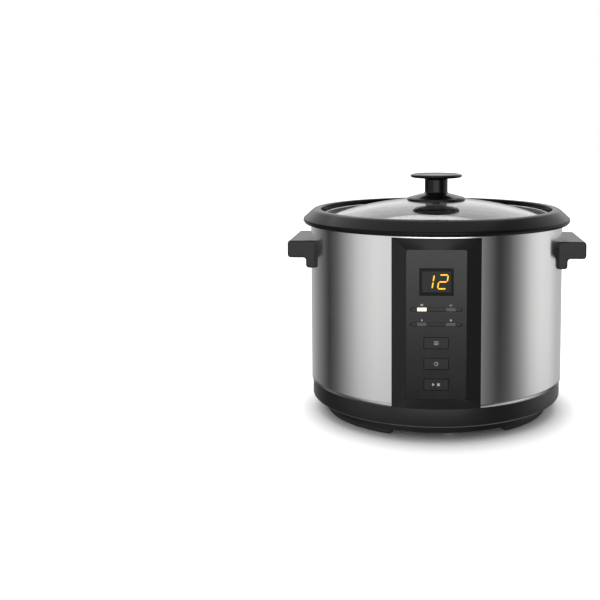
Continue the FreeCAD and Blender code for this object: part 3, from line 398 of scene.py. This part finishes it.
def shifted(mesh, x=0.0, y=0.0, z=0.0):
    """The mesh moved by whole-array addition."""
    spots = np.empty(len(mesh.vertices) * 3)
    mesh.vertices.foreach_get("co", spots)
    mesh.vertices.foreach_set("co", (spots.reshape(-1, 3) + (x, y, z)).ravel())
    return mesh


def capped(mesh):
    """Closes a tube's open ends with one face each and turns its faces outwards."""
    work = bmesh.new()
    work.from_mesh(mesh)
    bmesh.ops.holes_fill(work, edges=[e for e in work.edges if e.is_boundary])
    bmesh.ops.remove_doubles(work, verts=work.verts, dist=1e-6)
    bmesh.ops.recalc_face_normals(work, faces=work.faces)
    work.to_mesh(mesh)
    work.free()
    return mesh


def moulded_finish(name, dark, pale, gloss, pebble=0.000012, shine=0.5):
    """Moulded plastic: a dyed body with faint flow marks, a fine spark-eroded grain and a gloss.

    The gloss is the least roughness, the pebble the grain's depth in metres.
    """
    plastic = Finish(name)
    flow = plastic.grain(14.0, 3.0, (1, 1, 1.8))
    pebbles = plastic.grain(1500.0, 2.0)
    wear = plastic.grain(90.0, 4.0)
    return plastic.surface(
        Base_Color=plastic.blend(flow, (dark, dark, dark, 1), (pale, pale, pale, 1)),
        Roughness=gloss + wear * 0.09 + pebbles * 0.05,
        Specular_IOR_Level=shine,
        Normal=plastic.bump(pebbles, pebble, 0.6),
    )


def dress(finish, *nodes):
    """Gives carried-over nodes their finish."""
    for node in nodes:
        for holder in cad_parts[node].material_slots:
            holder.material = finish


satin_black = moulded_finish("satin_black", 0.008, 0.011, 0.24, shine=0.36)
skirt_mm, band_mm, base_top_mm = 115.0, 129.3, 32.3
base_inner_mm, rib_outer_mm, rib_inner_mm = 112.5, 127.6, 126.1
foot_top_mm, rib_top_mm = 4.7, 35.0
base_loop = soften(millimetres([
    (base_inner_mm, foot_top_mm), (skirt_mm, foot_top_mm), (skirt_mm, 13.0), (126.8, 13.8), (band_mm, 15.6),
    (band_mm, base_top_mm), (rib_outer_mm, base_top_mm), (rib_outer_mm, rib_top_mm),
    (rib_inner_mm, rib_top_mm), (rib_inner_mm, 18.7), (base_inner_mm, 17.5),
]), [0.0001, 0.0003, 0.0015, 0.0012, 0.0016, 0.0006, 0.0002, 0.0003, 0.0003, 0.001, 0.001])
post_outline = millimetres([(0, 9.7), (5, 9.7), (5, 44), (0, 44)])
post_circle = 0.106
posts = [
    shifted(turned("post", post_outline, 24), post_circle * math.cos(angle), post_circle * math.sin(angle))
    for angle in np.radians([37.0, 157.0, 277.0])
]
base_mesh = joined("moulded_base", turned("base_ring", base_loop, 256, True), *posts)
base = piece("moulded_base", base_mesh, satin_black)
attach(base, "housing")
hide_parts("base_housing")
cover_grey = moulded_finish("cover_grey", 0.05, 0.07, 0.45, 0.00003)
dress(cover_grey, "bottom_cover")

rubber = Finish("foot_rubber")
rubber_dust = rubber.grain(260.0, 4.0)
foot_rubber = rubber.surface(
    Base_Color=rubber.blend(rubber_dust, (0.012, 0.012, 0.012, 1), (0.035, 0.034, 0.033, 1)),
    Roughness=0.62 + rubber_dust * 0.2,
    Specular_IOR_Level=0.3,
    Normal=rubber.bump(rubber_dust, 0.00005, 0.5),
)
foot_corners = millimetres([(105, 0), (skirt_mm, 0), (skirt_mm, foot_top_mm), (105, foot_top_mm)])
foot_shape = soften(foot_corners, [0.0012, 0.0014, 0.0001, 0.0001], 4)
foot_degrees = np.concatenate([[0, 0.25], np.linspace(0.6, 60.9, 60), [61.25, 61.5]])
for foot_name, foot_start in (("foot_left", -174.0), ("foot_right", -54.0), ("foot_back", 66.0)):
    sweep = np.radians(foot_start + foot_degrees)
    inset = np.ones(len(sweep))
    inset[[0, -1]], inset[[1, -2]] = 0.80, 0.95
    centre = foot_shape.mean(0)
    rounds = centre + (foot_shape[None] - centre) * inset[:, None, None]
    rounds[:, :, 1] += (1 - inset[:, None]) * 0.0004
    arc = np.stack([
        rounds[..., 0] * np.cos(sweep)[:, None], rounds[..., 0] * np.sin(sweep)[:, None], rounds[..., 1]
    ], -1)
    foot_mesh = capped(grid_mesh(foot_name + "_arc", arc, wrap_v=True))
    foot = piece(foot_name + "_rubber", foot_mesh, foot_rubber, 50)
    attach(foot, "housing")
    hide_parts(foot_name)

# ---- Fasteners ----
# Small pan-head machine screws of zinc-plated steel, with the soft patchy lustre of
# the plating.
zinc = Finish("zinc_plating")
lustre = zinc.grain(420.0, 3.0)
zinc_plating = zinc.surface(
    Base_Color=zinc.blend(lustre, (0.52, 0.52, 0.50, 1), (0.66, 0.67, 0.66, 1)),
    Metallic=1.0,
    Roughness=0.28 + lustre * 0.16,
    Normal=zinc.bump(lustre, 0.00001, 0.4),
)
dress(
    zinc_plating,
    "base_screws", "rim_screws", "liner_screws", "heater_screws", "knob_screw", "inlet_screws",
    "right_handle_screws", "left_handle_screws", "control_board_screws", "power_board_screws",
)

# ---- Rim ----
# A glossy black moulding that caps the shell: a bead at its outer edge, a slope up to a
# rounded crest, and a ledge inside that carries the pot.
rim_black = moulded_finish("rim_black", 0.004, 0.006, 0.11, 0.000002, 0.10)
rim_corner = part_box("rim_ring")[1]
rim_out, crest = rim_corner.x * 1000, rim_corner.z * 1000
lip, groove_top = 193.5, 197.4
ledge_inner, ledge_low, ledge_top, roof = 111.2, 190.1, 192.6, crest - 3.2
rim_loop = soften(millimetres([
    (130.1, lip), (rim_out - 1.6, lip), (rim_out, lip + 2.5), (rim_out - 0.4, lip + 4.8),
    (128.6, crest - 1.0), (126.4, crest), (120.4, crest), (119.9, crest - 1.5),
    (119.9, ledge_top), (ledge_inner, ledge_top), (ledge_inner, ledge_low), (122.4, ledge_low),
    (122.4, roof), (127.4, roof), (127.4, lip), (129.3, lip), (129.3, groove_top), (130.1, groove_top),
]), millimetres([
    0.2, 1.2, 1.0, 0.8, 2.0, 2.2, 1.6, 1.2, 0.5, 0.6, 0.6, 0.5, 0.8, 0.5, 0.2, 0.2, 0.2, 0.2,
]), 6)
rim = piece("moulded_rim", turned("moulded_rim", rim_loop, 320, True), rim_black, 40)
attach(rim, "housing")
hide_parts("rim_ring")

# ---- Well, heating plate and sensor ----
# A thin drawn steel well round a cast aluminium plate turned in fine rings, with a
# sprung sensor cap in the middle and a sheathed heating tube pressed under the plate.
well_steel = steel_finish("well_steel", 1800.0, 1.6, (0.50, 0.50, 0.49, 1), (0.64, 0.64, 0.63, 1))
dress(well_steel, "inner_liner")
cast = Finish("turned_aluminium")
rings = cast.waves(cast.radius(cast.place()) * 9000.0)
pores = cast.grain(300.0, 4.0)
turned_aluminium = cast.surface(
    Base_Color=cast.blend(pores, (0.56, 0.56, 0.56, 1), (0.74, 0.74, 0.73, 1)),
    Metallic=1.0,
    Roughness=0.27 + rings * 0.10 + pores * 0.08,
    Normal=cast.bump(rings, 0.00003, 0.5),
)
dress(turned_aluminium, "heating_plate", "sensor_cap", "fuse_clip")
sheath = Finish("heater_sheath")
scale_marks = sheath.grain(160.0, 4.0)
heater_sheath = sheath.surface(
    Base_Color=sheath.ramp(scale_marks, (0.3, (0.14, 0.12, 0.10, 1)), (0.7, (0.30, 0.27, 0.24, 1))),
    Metallic=0.9,
    Roughness=0.42 + scale_marks * 0.2,
)
dress(heater_sheath, "heater_tube", "heater_terminals", "temperature_probe", "thermal_fuse")
pressed_steel = steel_finish("pressed_steel", 900.0, 1.2, (0.50, 0.50, 0.49, 1), (0.62, 0.62, 0.61, 1))
dress(pressed_steel, "heater_posts", "sensor_bracket", "board_standoffs", "knob_washer")

# The spring's path climbs evenly, apart from three quarters of a turn at each end that lies level, as a
# ground end does.
spring_low, spring_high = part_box("sensor_spring")
wire_radius, coil_turns, level_turns = 0.0005, 7, 0.75
coil_radius = spring_high.x - wire_radius
path_turn = np.linspace(0, 2 * math.pi * coil_turns, 36 * coil_turns + 1)
climb = np.clip((path_turn / (2 * math.pi) - level_turns) / (coil_turns - 2 * level_turns), 0, 1)
path_z = spring_low.z + wire_radius + climb * (spring_high.z - spring_low.z - 2 * wire_radius)
wire_turn = np.linspace(0, 2 * math.pi, 10, endpoint=False)
reach = coil_radius + wire_radius * np.cos(wire_turn)[None]
coil_points = np.stack([
    reach * np.cos(path_turn)[:, None], reach * np.sin(path_turn)[:, None],
    path_z[:, None] + wire_radius * np.sin(wire_turn)[None],
], -1)
coil_mesh = capped(grid_mesh("coil_spring", coil_points, wrap_v=True))
coil = piece("coil_spring", coil_mesh, zinc_plating, 60)
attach(coil, "housing")
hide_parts("sensor_spring")
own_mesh(coil)

# ---- Pot ----
# A pressed aluminium bowl: bare spun metal outside and a dark speckled non-stick coating
# inside, with level rings rolled into its wall.
pot_finish = Finish("pot_coating")
pot_spot = pot_finish.place()
pot_height = pot_finish.axes(pot_spot)[2]
pot_radius = pot_finish.radius(pot_spot)
coated = (pot_radius < 0.1063) * (pot_height > 0.0632)
coated = pot_finish.node("Math", {"operation": "MAXIMUM"}, coated, pot_height > 0.1932)
specks = pot_finish.node("TexVoronoi", None, pot_spot, Scale=700.0)
flecks = (specks < 0.14) * 0.5
spun = pot_finish.waves(pot_height * 5200.0)
coating = pot_finish.blend(flecks, (0.022, 0.022, 0.023, 1), (0.20, 0.20, 0.20, 1))
pot_coating = pot_finish.surface(
    Base_Color=pot_finish.blend(coated, (0.62, 0.62, 0.61, 1), coating),
    Metallic=1 - coated,
    Roughness=0.26 + spun * 0.10 * (1 - coated) + coated * 0.10,
    Normal=pot_finish.bump(spun * (1 - coated) + specks * coated, 0.00002, 0.4),
)
outside_mm, pot_wall_mm, bend_mm, pot_floor_mm, flange_mm = 107.0, 1.5, 23.0, 62.0, 192.6
inside_mm = outside_mm - pot_wall_mm
bend = np.radians(np.linspace(-90, 0, 15))
rounding = np.stack([np.cos(bend), np.sin(bend)], -1)
bend_centre = np.array([outside_mm - bend_mm, pot_floor_mm + bend_mm])
outer_bend = bend_centre + bend_mm * rounding
inner_bend = (bend_centre + (bend_mm - pot_wall_mm) * rounding)[::-1]
level_z = np.linspace(188.0, 92.0, 97)
bead = 0.35 * np.exp(-(((level_z[:, None] - np.array([100.0, 116, 132, 148, 164])[None]) / 0.8) ** 2)).sum(1)
wall_inside = np.stack([inside_mm - bead, level_z], -1)
flange = [
    (outside_mm, 192.0), (107.4, flange_mm), (118.1, flange_mm), (118.5, 193.0), (118.5, 193.7),
    (118.1, flange_mm + pot_wall_mm), (107.2, flange_mm + pot_wall_mm), (106.1, 193.6), (inside_mm, 192.4),
]
pot_profile = np.concatenate([
    [(0, pot_floor_mm)], outer_bend, flange, wall_inside, inner_bend, [(0, pot_floor_mm + pot_wall_mm)],
])
pot = piece("spun_pot", turned("spun_pot", pot_profile / 1000, 192), pot_coating, 50)
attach(pot, "pot")
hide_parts("pot_side", "pot_floor")

# ---- Lid ----
# A dome of toughened glass in a dark silicone gasket and a rolled steel band, with a
# glossy black knob screwed through its middle and a small steel eyelet for steam.
glass = Finish("toughened_glass")
smears = glass.grain(22.0, 4.0)
toughened_glass = glass.surface(
    Base_Color=glass.blend(smears, (0.86, 0.89, 0.88, 1), (0.90, 0.92, 0.91, 1)),
    Roughness=smears * 0.05,
    IOR=1.5,
    Transmission_Weight=1.0,
    Normal=glass.bump(glass.grain(60.0, 1.0), 0.000004, 0.3),
)
dome_mm, dome_centre_mm, edge_mm, glass_mm = 370.0, -152.68, 112.5, 4.0
screw_hole_mm, hole_edge_drop_mm = 4.2, 0.02


def dome_arc(sphere_mm):
    """A sphere's outline from the screw's hole to the glass's edge, as radius and height."""
    lean_out = math.asin(edge_mm / sphere_mm) * np.linspace(0, 1, 40)
    arc = np.stack([sphere_mm * np.sin(lean_out), dome_centre_mm + sphere_mm * np.cos(lean_out)], -1)
    arc[0] = screw_hole_mm, arc[0, 1] - hole_edge_drop_mm
    return arc


dome_loop = np.concatenate([dome_arc(dome_mm), dome_arc(dome_mm - glass_mm)[::-1]])
dome = piece("glass_dome", turned("glass_dome", dome_loop / 1000, 256, True), toughened_glass, 50)
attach(dome, "lid")
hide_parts("lid_glass")

polished = steel_finish("polished_band", 5200.0, 1.0, (0.66, 0.66, 0.65, 1), (0.74, 0.74, 0.73, 1))
band_low, band_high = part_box("lid_band")
band_out, band_base, band_top = band_high.x * 1000, band_low.z * 1000, band_high.z * 1000
sheet_mm, low_lip_mm, top_lip_mm = 0.8, 4.7, 3.9
band_loop = soften(millimetres([
    (band_out - low_lip_mm, band_base), (band_out, band_base), (band_out, band_top - 0.3),
    (band_out - 0.6, band_top), (band_out - top_lip_mm, band_top),
    (band_out - top_lip_mm, band_top - sheet_mm), (band_out - sheet_mm, band_top - sheet_mm),
    (band_out - sheet_mm, band_base + sheet_mm), (band_out - low_lip_mm, band_base + sheet_mm),
]), 0.0004, 4)
band = piece("rolled_band", turned("rolled_band", band_loop, 256, True), polished, 50)
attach(band, "lid")
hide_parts("lid_band")
silicone = moulded_finish("gasket_silicone", 0.02, 0.03, 0.42, 0.00002, 0.35)
dress(silicone, "lid_gasket")
dress(polished, "vent_eyelet")

knob_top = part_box("lid_knob")[1].z * 1000
apex, skirt_rim_mm = dome_centre_mm + dome_mm, 30.4


def dome_height(radius):
    """The height of the glass's outer face at a radius, both in millimetres."""
    return dome_centre_mm + np.sqrt(dome_mm ** 2 - np.asarray(radius, float) ** 2)


knob_upper = soften(np.array([
    (-1.0, knob_top - 0.9), (21.5, knob_top - 0.9), (24.0, knob_top), (27.2, knob_top - 0.9),
    (26.8, knob_top - 3.4), (24.0, knob_top - 4.1), (12.9, knob_top - 4.6), (12.0, knob_top - 6.0),
    (12.0, apex + 7.4), (12.4, apex + 5.6), (19.5, apex + 4.0), (28.6, apex + 1.5),
    (skirt_rim_mm, dome_height(skirt_rim_mm) + 1.5), (skirt_rim_mm, dome_height(skirt_rim_mm)),
    (-1.0, dome_height(skirt_rim_mm)),
]), [0.1, 4.0, 2.4, 1.6, 1.6, 6.0, 1.6, 1.0, 3.0, 3.4, 6.0, 2.4, 1.0, 0.05, 0.1], 7)
# The rounded outline is kept from the axis to the skirt's rim; then the underside follows
# the glass back to the screw's bore.
knob_run = knob_upper[int(np.argmax(knob_upper[:, 0] > 0)):]
at_rim = np.flatnonzero(np.abs(knob_run[:, 0] - skirt_rim_mm) < 0.2)[-1]
seat = np.linspace(skirt_rim_mm - 0.2, 2.0, 14)
bore_mm, bore_end = 1.6, apex + 12.8
knob_profile = np.concatenate([
    [(0.0, knob_top - 0.9)], knob_run[:at_rim + 1], np.stack([seat, dome_height(seat)], -1),
    [(bore_mm, bore_end), (0.0, bore_end)],
])
gloss_black = moulded_finish("gloss_black", 0.005, 0.007, 0.09, 0.000002, 0.24)
knob = piece("turned_knob", turned("turned_knob", knob_profile / 1000, 128), gloss_black, 45)
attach(knob, "lid")
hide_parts("lid_knob")

# ---- Handles ----
# Two black grips, each one moulding: a thick flat grip with a leg below it that lies on
# the shell, held from inside by two screws.
grip_low, grip_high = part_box("handle_right")
handle_black = moulded_finish("handle_black", 0.009, 0.012, 0.22, shine=0.30)
back_x, leg_x, face_x, touching_mm = 122.0, 131.8, grip_high.x * 1000, 130.05
leg_z, under_z, top_z = grip_low.z * 1000, 160.1, grip_high.z * 1000
grip_half, end_round = grip_high.y * 1000, 1.5
grip_loop = soften([
    (back_x, leg_z), (leg_x, leg_z), (leg_x, under_z), (face_x, under_z), (face_x, top_z), (back_x, top_z),
], [0.3, 3.6, 3.4, 3.8, 3.8, 0.3], 9)
# Both ends are rounded by drawing the outline inwards along a quarter circle, but the
# points that touch the shell are only drawn towards the grip's middle height.
edge = np.roll(grip_loop, -1, 0) - np.roll(grip_loop, 1, 0)
inward = np.stack([-edge[:, 1], edge[:, 0]], -1) / np.maximum(np.linalg.norm(edge, axis=1), 1e-9)[:, None]
lean = np.radians(np.linspace(90, 0, 9))
end_y = grip_half - end_round + end_round * np.sin(lean)
end_inset = end_round * (1 - np.cos(lean))
at_back = grip_loop[:, 0] < back_x + 0.5
towards_middle = np.sign((leg_z + top_z) / 2 - grip_loop[at_back, 1])
inward[at_back] = np.stack([np.zeros(at_back.sum()), towards_middle], -1)
span = np.concatenate([-end_y, np.linspace(-end_y[-1], end_y[-1], 24)[1:-1], end_y[::-1]])
insets = np.concatenate([end_inset, np.zeros(22), end_inset[::-1]])
outline = grip_loop[None] + inward[None] * insets[:, None, None]
grip_x = np.maximum(outline[..., 0], np.sqrt(touching_mm ** 2 - span ** 2)[:, None])
grip_points = np.stack([grip_x, np.broadcast_to(span[:, None], grip_x.shape), outline[..., 1]], -1) / 1000
for side, node, label in ((1, "handle_right", "grip_right"), (-1, "handle_left", "grip_left")):
    grip_mesh = capped(grid_mesh(label, grip_points * (side, 1, 1), wrap_v=True))
    grip = piece(label, grip_mesh, handle_black, 40)
    grip.modifiers.new("flat_faces", "WEIGHTED_NORMAL").keep_sharp = True
    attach(grip, "housing")
    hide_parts(node)

# ---- Control panel ----
# A bevelled black frame in the shell's window carries a satin plate, with a smoked
# display window, two rows of lamp bars and three sprung buttons.
frame_black = moulded_finish("frame_black", 0.008, 0.011, 0.24, shine=0.24)
dress(frame_black, "panel_frame")
panel_black = moulded_finish("panel_black", 0.003, 0.005, 0.15, 0.000003, 0.5)
dress(panel_black, "control_plate", "indicator_bars")
button_black = moulded_finish("button_black", 0.006, 0.008, 0.20, 0.000003, 0.45)
dress(button_black, "button_upper", "button_middle", "button_lower", "button_switches")

smoke = Finish("smoked_window")
film = smoke.grain(50.0, 3.0)
window_low, window_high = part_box("display_window")
window_middle = (window_low + window_high) / 2
off_centre = smoke.node("Mapping", None, smoke.place(), Location=(0, 0, -window_middle.z))
across_window, _, up_window = smoke.axes(off_centre)
clear_wide = smoke.node("Math", {"operation": "ABSOLUTE"}, across_window) < 0.0132
clear_tall = smoke.node("Math", {"operation": "ABSOLUTE"}, up_window) < 0.0096
smoked = smoke.blend(film, (0.020, 0.019, 0.018, 1), (0.028, 0.027, 0.025, 1))
smoked_window = smoke.surface(
    Base_Color=smoke.blend(clear_wide * clear_tall, (0.003, 0.003, 0.003, 1), smoked),
    Roughness=0.10 + film * 0.06,
    Specular_IOR_Level=0.12,
)
dress(smoked_window, "display_window")
dress(button_black, "display_module")

amber = Finish("lit_segments")
flicker = amber.grain(500.0, 1.0)
lit_segments = amber.surface(
    Base_Color=(0.03, 0.02, 0.005, 1),
    Roughness=0.3,
    Emission_Color=amber.blend(flicker, (1.0, 0.50, 0.015, 1), (1.0, 0.62, 0.035, 1)),
    Emission_Strength=1.5,
)
SEGMENTS = {
    "a": (0, 2, 1, 2), "b": (1, 2, 1, 1), "c": (1, 1, 1, 0), "d": (0, 0, 1, 0),
    "e": (0, 1, 0, 0), "f": (0, 2, 0, 1), "g": (0, 1, 1, 1),
}
# Each segment is a hexagon: a straight bar whose two ends are cut to a point, a small
# gap short of its corners. The whole digit then leans by the slant.
digit_wide, digit_half, bar_half, bar_gap, slant = 7.8, 6.4, 0.62, 0.35, math.tan(math.radians(9))
bars = []
for centre_x, lit in ((-6.9, "bc"), (5.9, "abged")):
    for name in lit:
        x0, y0, x1, y1 = SEGMENTS[name]
        ends = np.array([(x0 * digit_wide, y0 * digit_half), (x1 * digit_wide, y1 * digit_half)])
        along_bar = (ends[1] - ends[0]) / np.linalg.norm(ends[1] - ends[0])
        beside = np.array([-along_bar[1], along_bar[0]])
        first_end, last_end = ends[0] + along_bar * bar_gap, ends[1] - along_bar * bar_gap
        bars.append(np.stack([
            first_end, first_end + (along_bar + beside) * bar_half,
            last_end + (beside - along_bar) * bar_half, last_end,
            last_end - (along_bar + beside) * bar_half, first_end + (along_bar - beside) * bar_half,
        ]) + (centre_x - digit_wide / 2, -digit_half))
flat = np.concatenate(bars)
digit_middle = (window_low.z + window_high.z) / 2
digit_x = (flat[:, 0] + flat[:, 1] * slant) / 1000
digit_y = np.full(len(flat), window_low.y - 0.00006)
digit_points = np.stack([digit_x, digit_y, digit_middle + flat[:, 1] / 1000], -1)
digit_mesh = bpy.data.meshes.new("lit_digits")
digit_mesh.from_pydata(digit_points, [], np.arange(len(flat)).reshape(-1, 6).tolist())
tidy_mesh(digit_mesh, outwards=False)
digits = solidify(piece("lit_digits", digit_mesh, lit_segments), 0.00005, 0)
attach(digits, "housing")

lit = Finish("lit_lamp")
glow = lit.grain(200.0, 1.0)
lit_lamp = lit.surface(
    Base_Color=(0.8, 0.7, 0.5, 1),
    Roughness=0.4,
    Emission_Color=lit.blend(glow, (1.0, 0.62, 0.30, 1), (1.0, 0.80, 0.55, 1)),
    Emission_Strength=1.0,
)
dress(lit_lamp, "indicator_lamp_lit")
lens_finish = Finish("clear_lamp")
haze = lens_finish.grain(300.0, 2.0)
clear_lamp = lens_finish.surface(
    Base_Color=lens_finish.blend(haze, (0.05, 0.05, 0.05, 1), (0.08, 0.08, 0.08, 1)),
    Roughness=0.3 + haze * 0.1,
)
dress(clear_lamp, "indicator_lamps")

# ---- Printed marks ----
# Small pale grey signs are pad-printed on the buttons and over the lamps: bars for the
# menu, a clock for the timer, start and stop, and little cooking signs.
ink = Finish("printed_ink")
speckle = ink.grain(2500.0, 2.0)
printed_ink = ink.surface(
    Base_Color=ink.blend(speckle, (0.36, 0.36, 0.35, 1), (0.50, 0.50, 0.49, 1)),
    Roughness=0.42 + speckle * 0.1,
)


def bar_sign(x, z, wide, tall):
    """The four corners of an upright bar about a middle point."""
    return np.array([(x - wide / 2, z - tall / 2), (x + wide / 2, z - tall / 2),
                     (x + wide / 2, z + tall / 2), (x - wide / 2, z + tall / 2)])


def arc_sign(x, z, radius, start, stop, line=0.0, steps=28):
    """A slice of a disc, or a ring of a line's width: the outer arc, then the inner one back."""
    swing = np.radians(np.linspace(start, stop, steps))
    outer = np.stack([np.cos(swing), np.sin(swing)], -1) * radius
    inner = outer[::-1] * (1 - line / radius) if line else np.empty((0, 2))
    return np.concatenate([outer, inner]) + (x, z)


def printed(name, signs, front, x, z, body):
    """Flat signs on a face, each its own polygon, with the thickness of a coat of ink."""
    spots = np.concatenate(signs) / 1000
    counts = np.cumsum([0] + [len(sign) for sign in signs])
    mesh = bpy.data.meshes.new(name)
    points = np.stack([x + spots[:, 0], np.full(len(spots), front - 0.00003), z + spots[:, 1]], -1)
    mesh.from_pydata(points, [], [list(range(a, b)) for a, b in zip(counts[:-1], counts[1:])])
    marks = solidify(piece(name, mesh, printed_ink), 0.00004, 0)
    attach(marks, body)
    return marks


clock = [
    arc_sign(0, 0, 1.9, 90, 268, 0.4), arc_sign(0, 0, 1.9, 270, 448, 0.4),
    bar_sign(0, 0.55, 0.36, 1.2), bar_sign(0.4, 0, 0.9, 0.36),
]
menu_bars = [bar_sign(0, height, 4.4, 0.5) for height in (1.3, 0, -1.3)]
start_stop = [np.array([(-3.6, -1.5), (-1.1, 0), (-3.6, 1.5)]), bar_sign(2.2, 0, 2.5, 2.5)]
for label, signs in (("upper", menu_bars), ("middle", clock), ("lower", start_stop)):
    key_low, key_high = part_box("button_" + label)
    printed(label + "_button_sign", signs, key_low.y, 0.0, (key_low.z + key_high.z) / 2, label + "_button")
plate_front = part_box("control_plate")[0].y
bowl = [arc_sign(0, 0.5, 1.3, 180, 360), bar_sign(0, 0.85, 3.0, 0.3)]
steam = [bar_sign(across, 0, 0.35, 1.7) for across in (-0.9, 0, 0.9)]
flame = [np.array([(-0.9, -0.9), (0.9, -0.9), (0, 1.1)])]
disc = [arc_sign(0, 0, 0.95, 0, 355)]
sign_column, upper_row, lower_row = 0.0133, 0.1304, 0.1166
for label, signs, side, row in (
    ("bowl", bowl, -1, upper_row), ("steam", steam, 1, upper_row),
    ("flame", flame, -1, lower_row), ("warm", disc, 1, lower_row),
):
    printed(label + "_sign", signs, plate_front, side * sign_column, row, "housing")

# ---- Boards and inlet ----
# Two printed boards with their parts, a flat ribbon cable between them, and a moulded
# mains inlet with brass pins in the back of the shell.
board = Finish("board_green")
tracks = board.node(
    "TexBrick", None, board.place(), Scale=160.0, Mortar_Size=0.03,
    Color1=(0.010, 0.085, 0.035, 1), Color2=(0.014, 0.11, 0.045, 1), Mortar=(0.02, 0.20, 0.08, 1),
)
board_green = board.surface(Base_Color=tracks, Roughness=0.32 + board.grain(300.0) * 0.1)
dress(board_green, "control_board", "power_board")
component = moulded_finish("component_black", 0.02, 0.03, 0.4)
dress(component, "power_relay", "power_transformer", "ribbon_connector")
ribbon = Finish("ribbon_grey")
side_by_side = {"wave_type": "BANDS", "bands_direction": "X"}
strands = ribbon.node("TexWave", side_by_side, ribbon.place(), Scale=250.0, output=1)
ribbon_grey = ribbon.surface(
    Base_Color=ribbon.blend(strands, (0.30, 0.30, 0.31, 1), (0.48, 0.48, 0.49, 1)),
    Roughness=0.45 + strands * 0.1,
    Normal=ribbon.bump(strands, 0.0002, 0.6),
)
dress(ribbon_grey, "panel_ribbon")
inlet_black = moulded_finish("inlet_black", 0.012, 0.016, 0.34)
dress(inlet_black, "inlet_socket")
brass = Finish("pin_brass")
tarnish = brass.grain(500.0, 3.0)
pin_brass = brass.surface(
    Base_Color=brass.blend(tarnish, (0.60, 0.42, 0.17, 1), (0.80, 0.62, 0.30, 1)),
    Metallic=1.0,
    Roughness=0.22 + tarnish * 0.15,
)
dress(pin_brass, "inlet_pins")
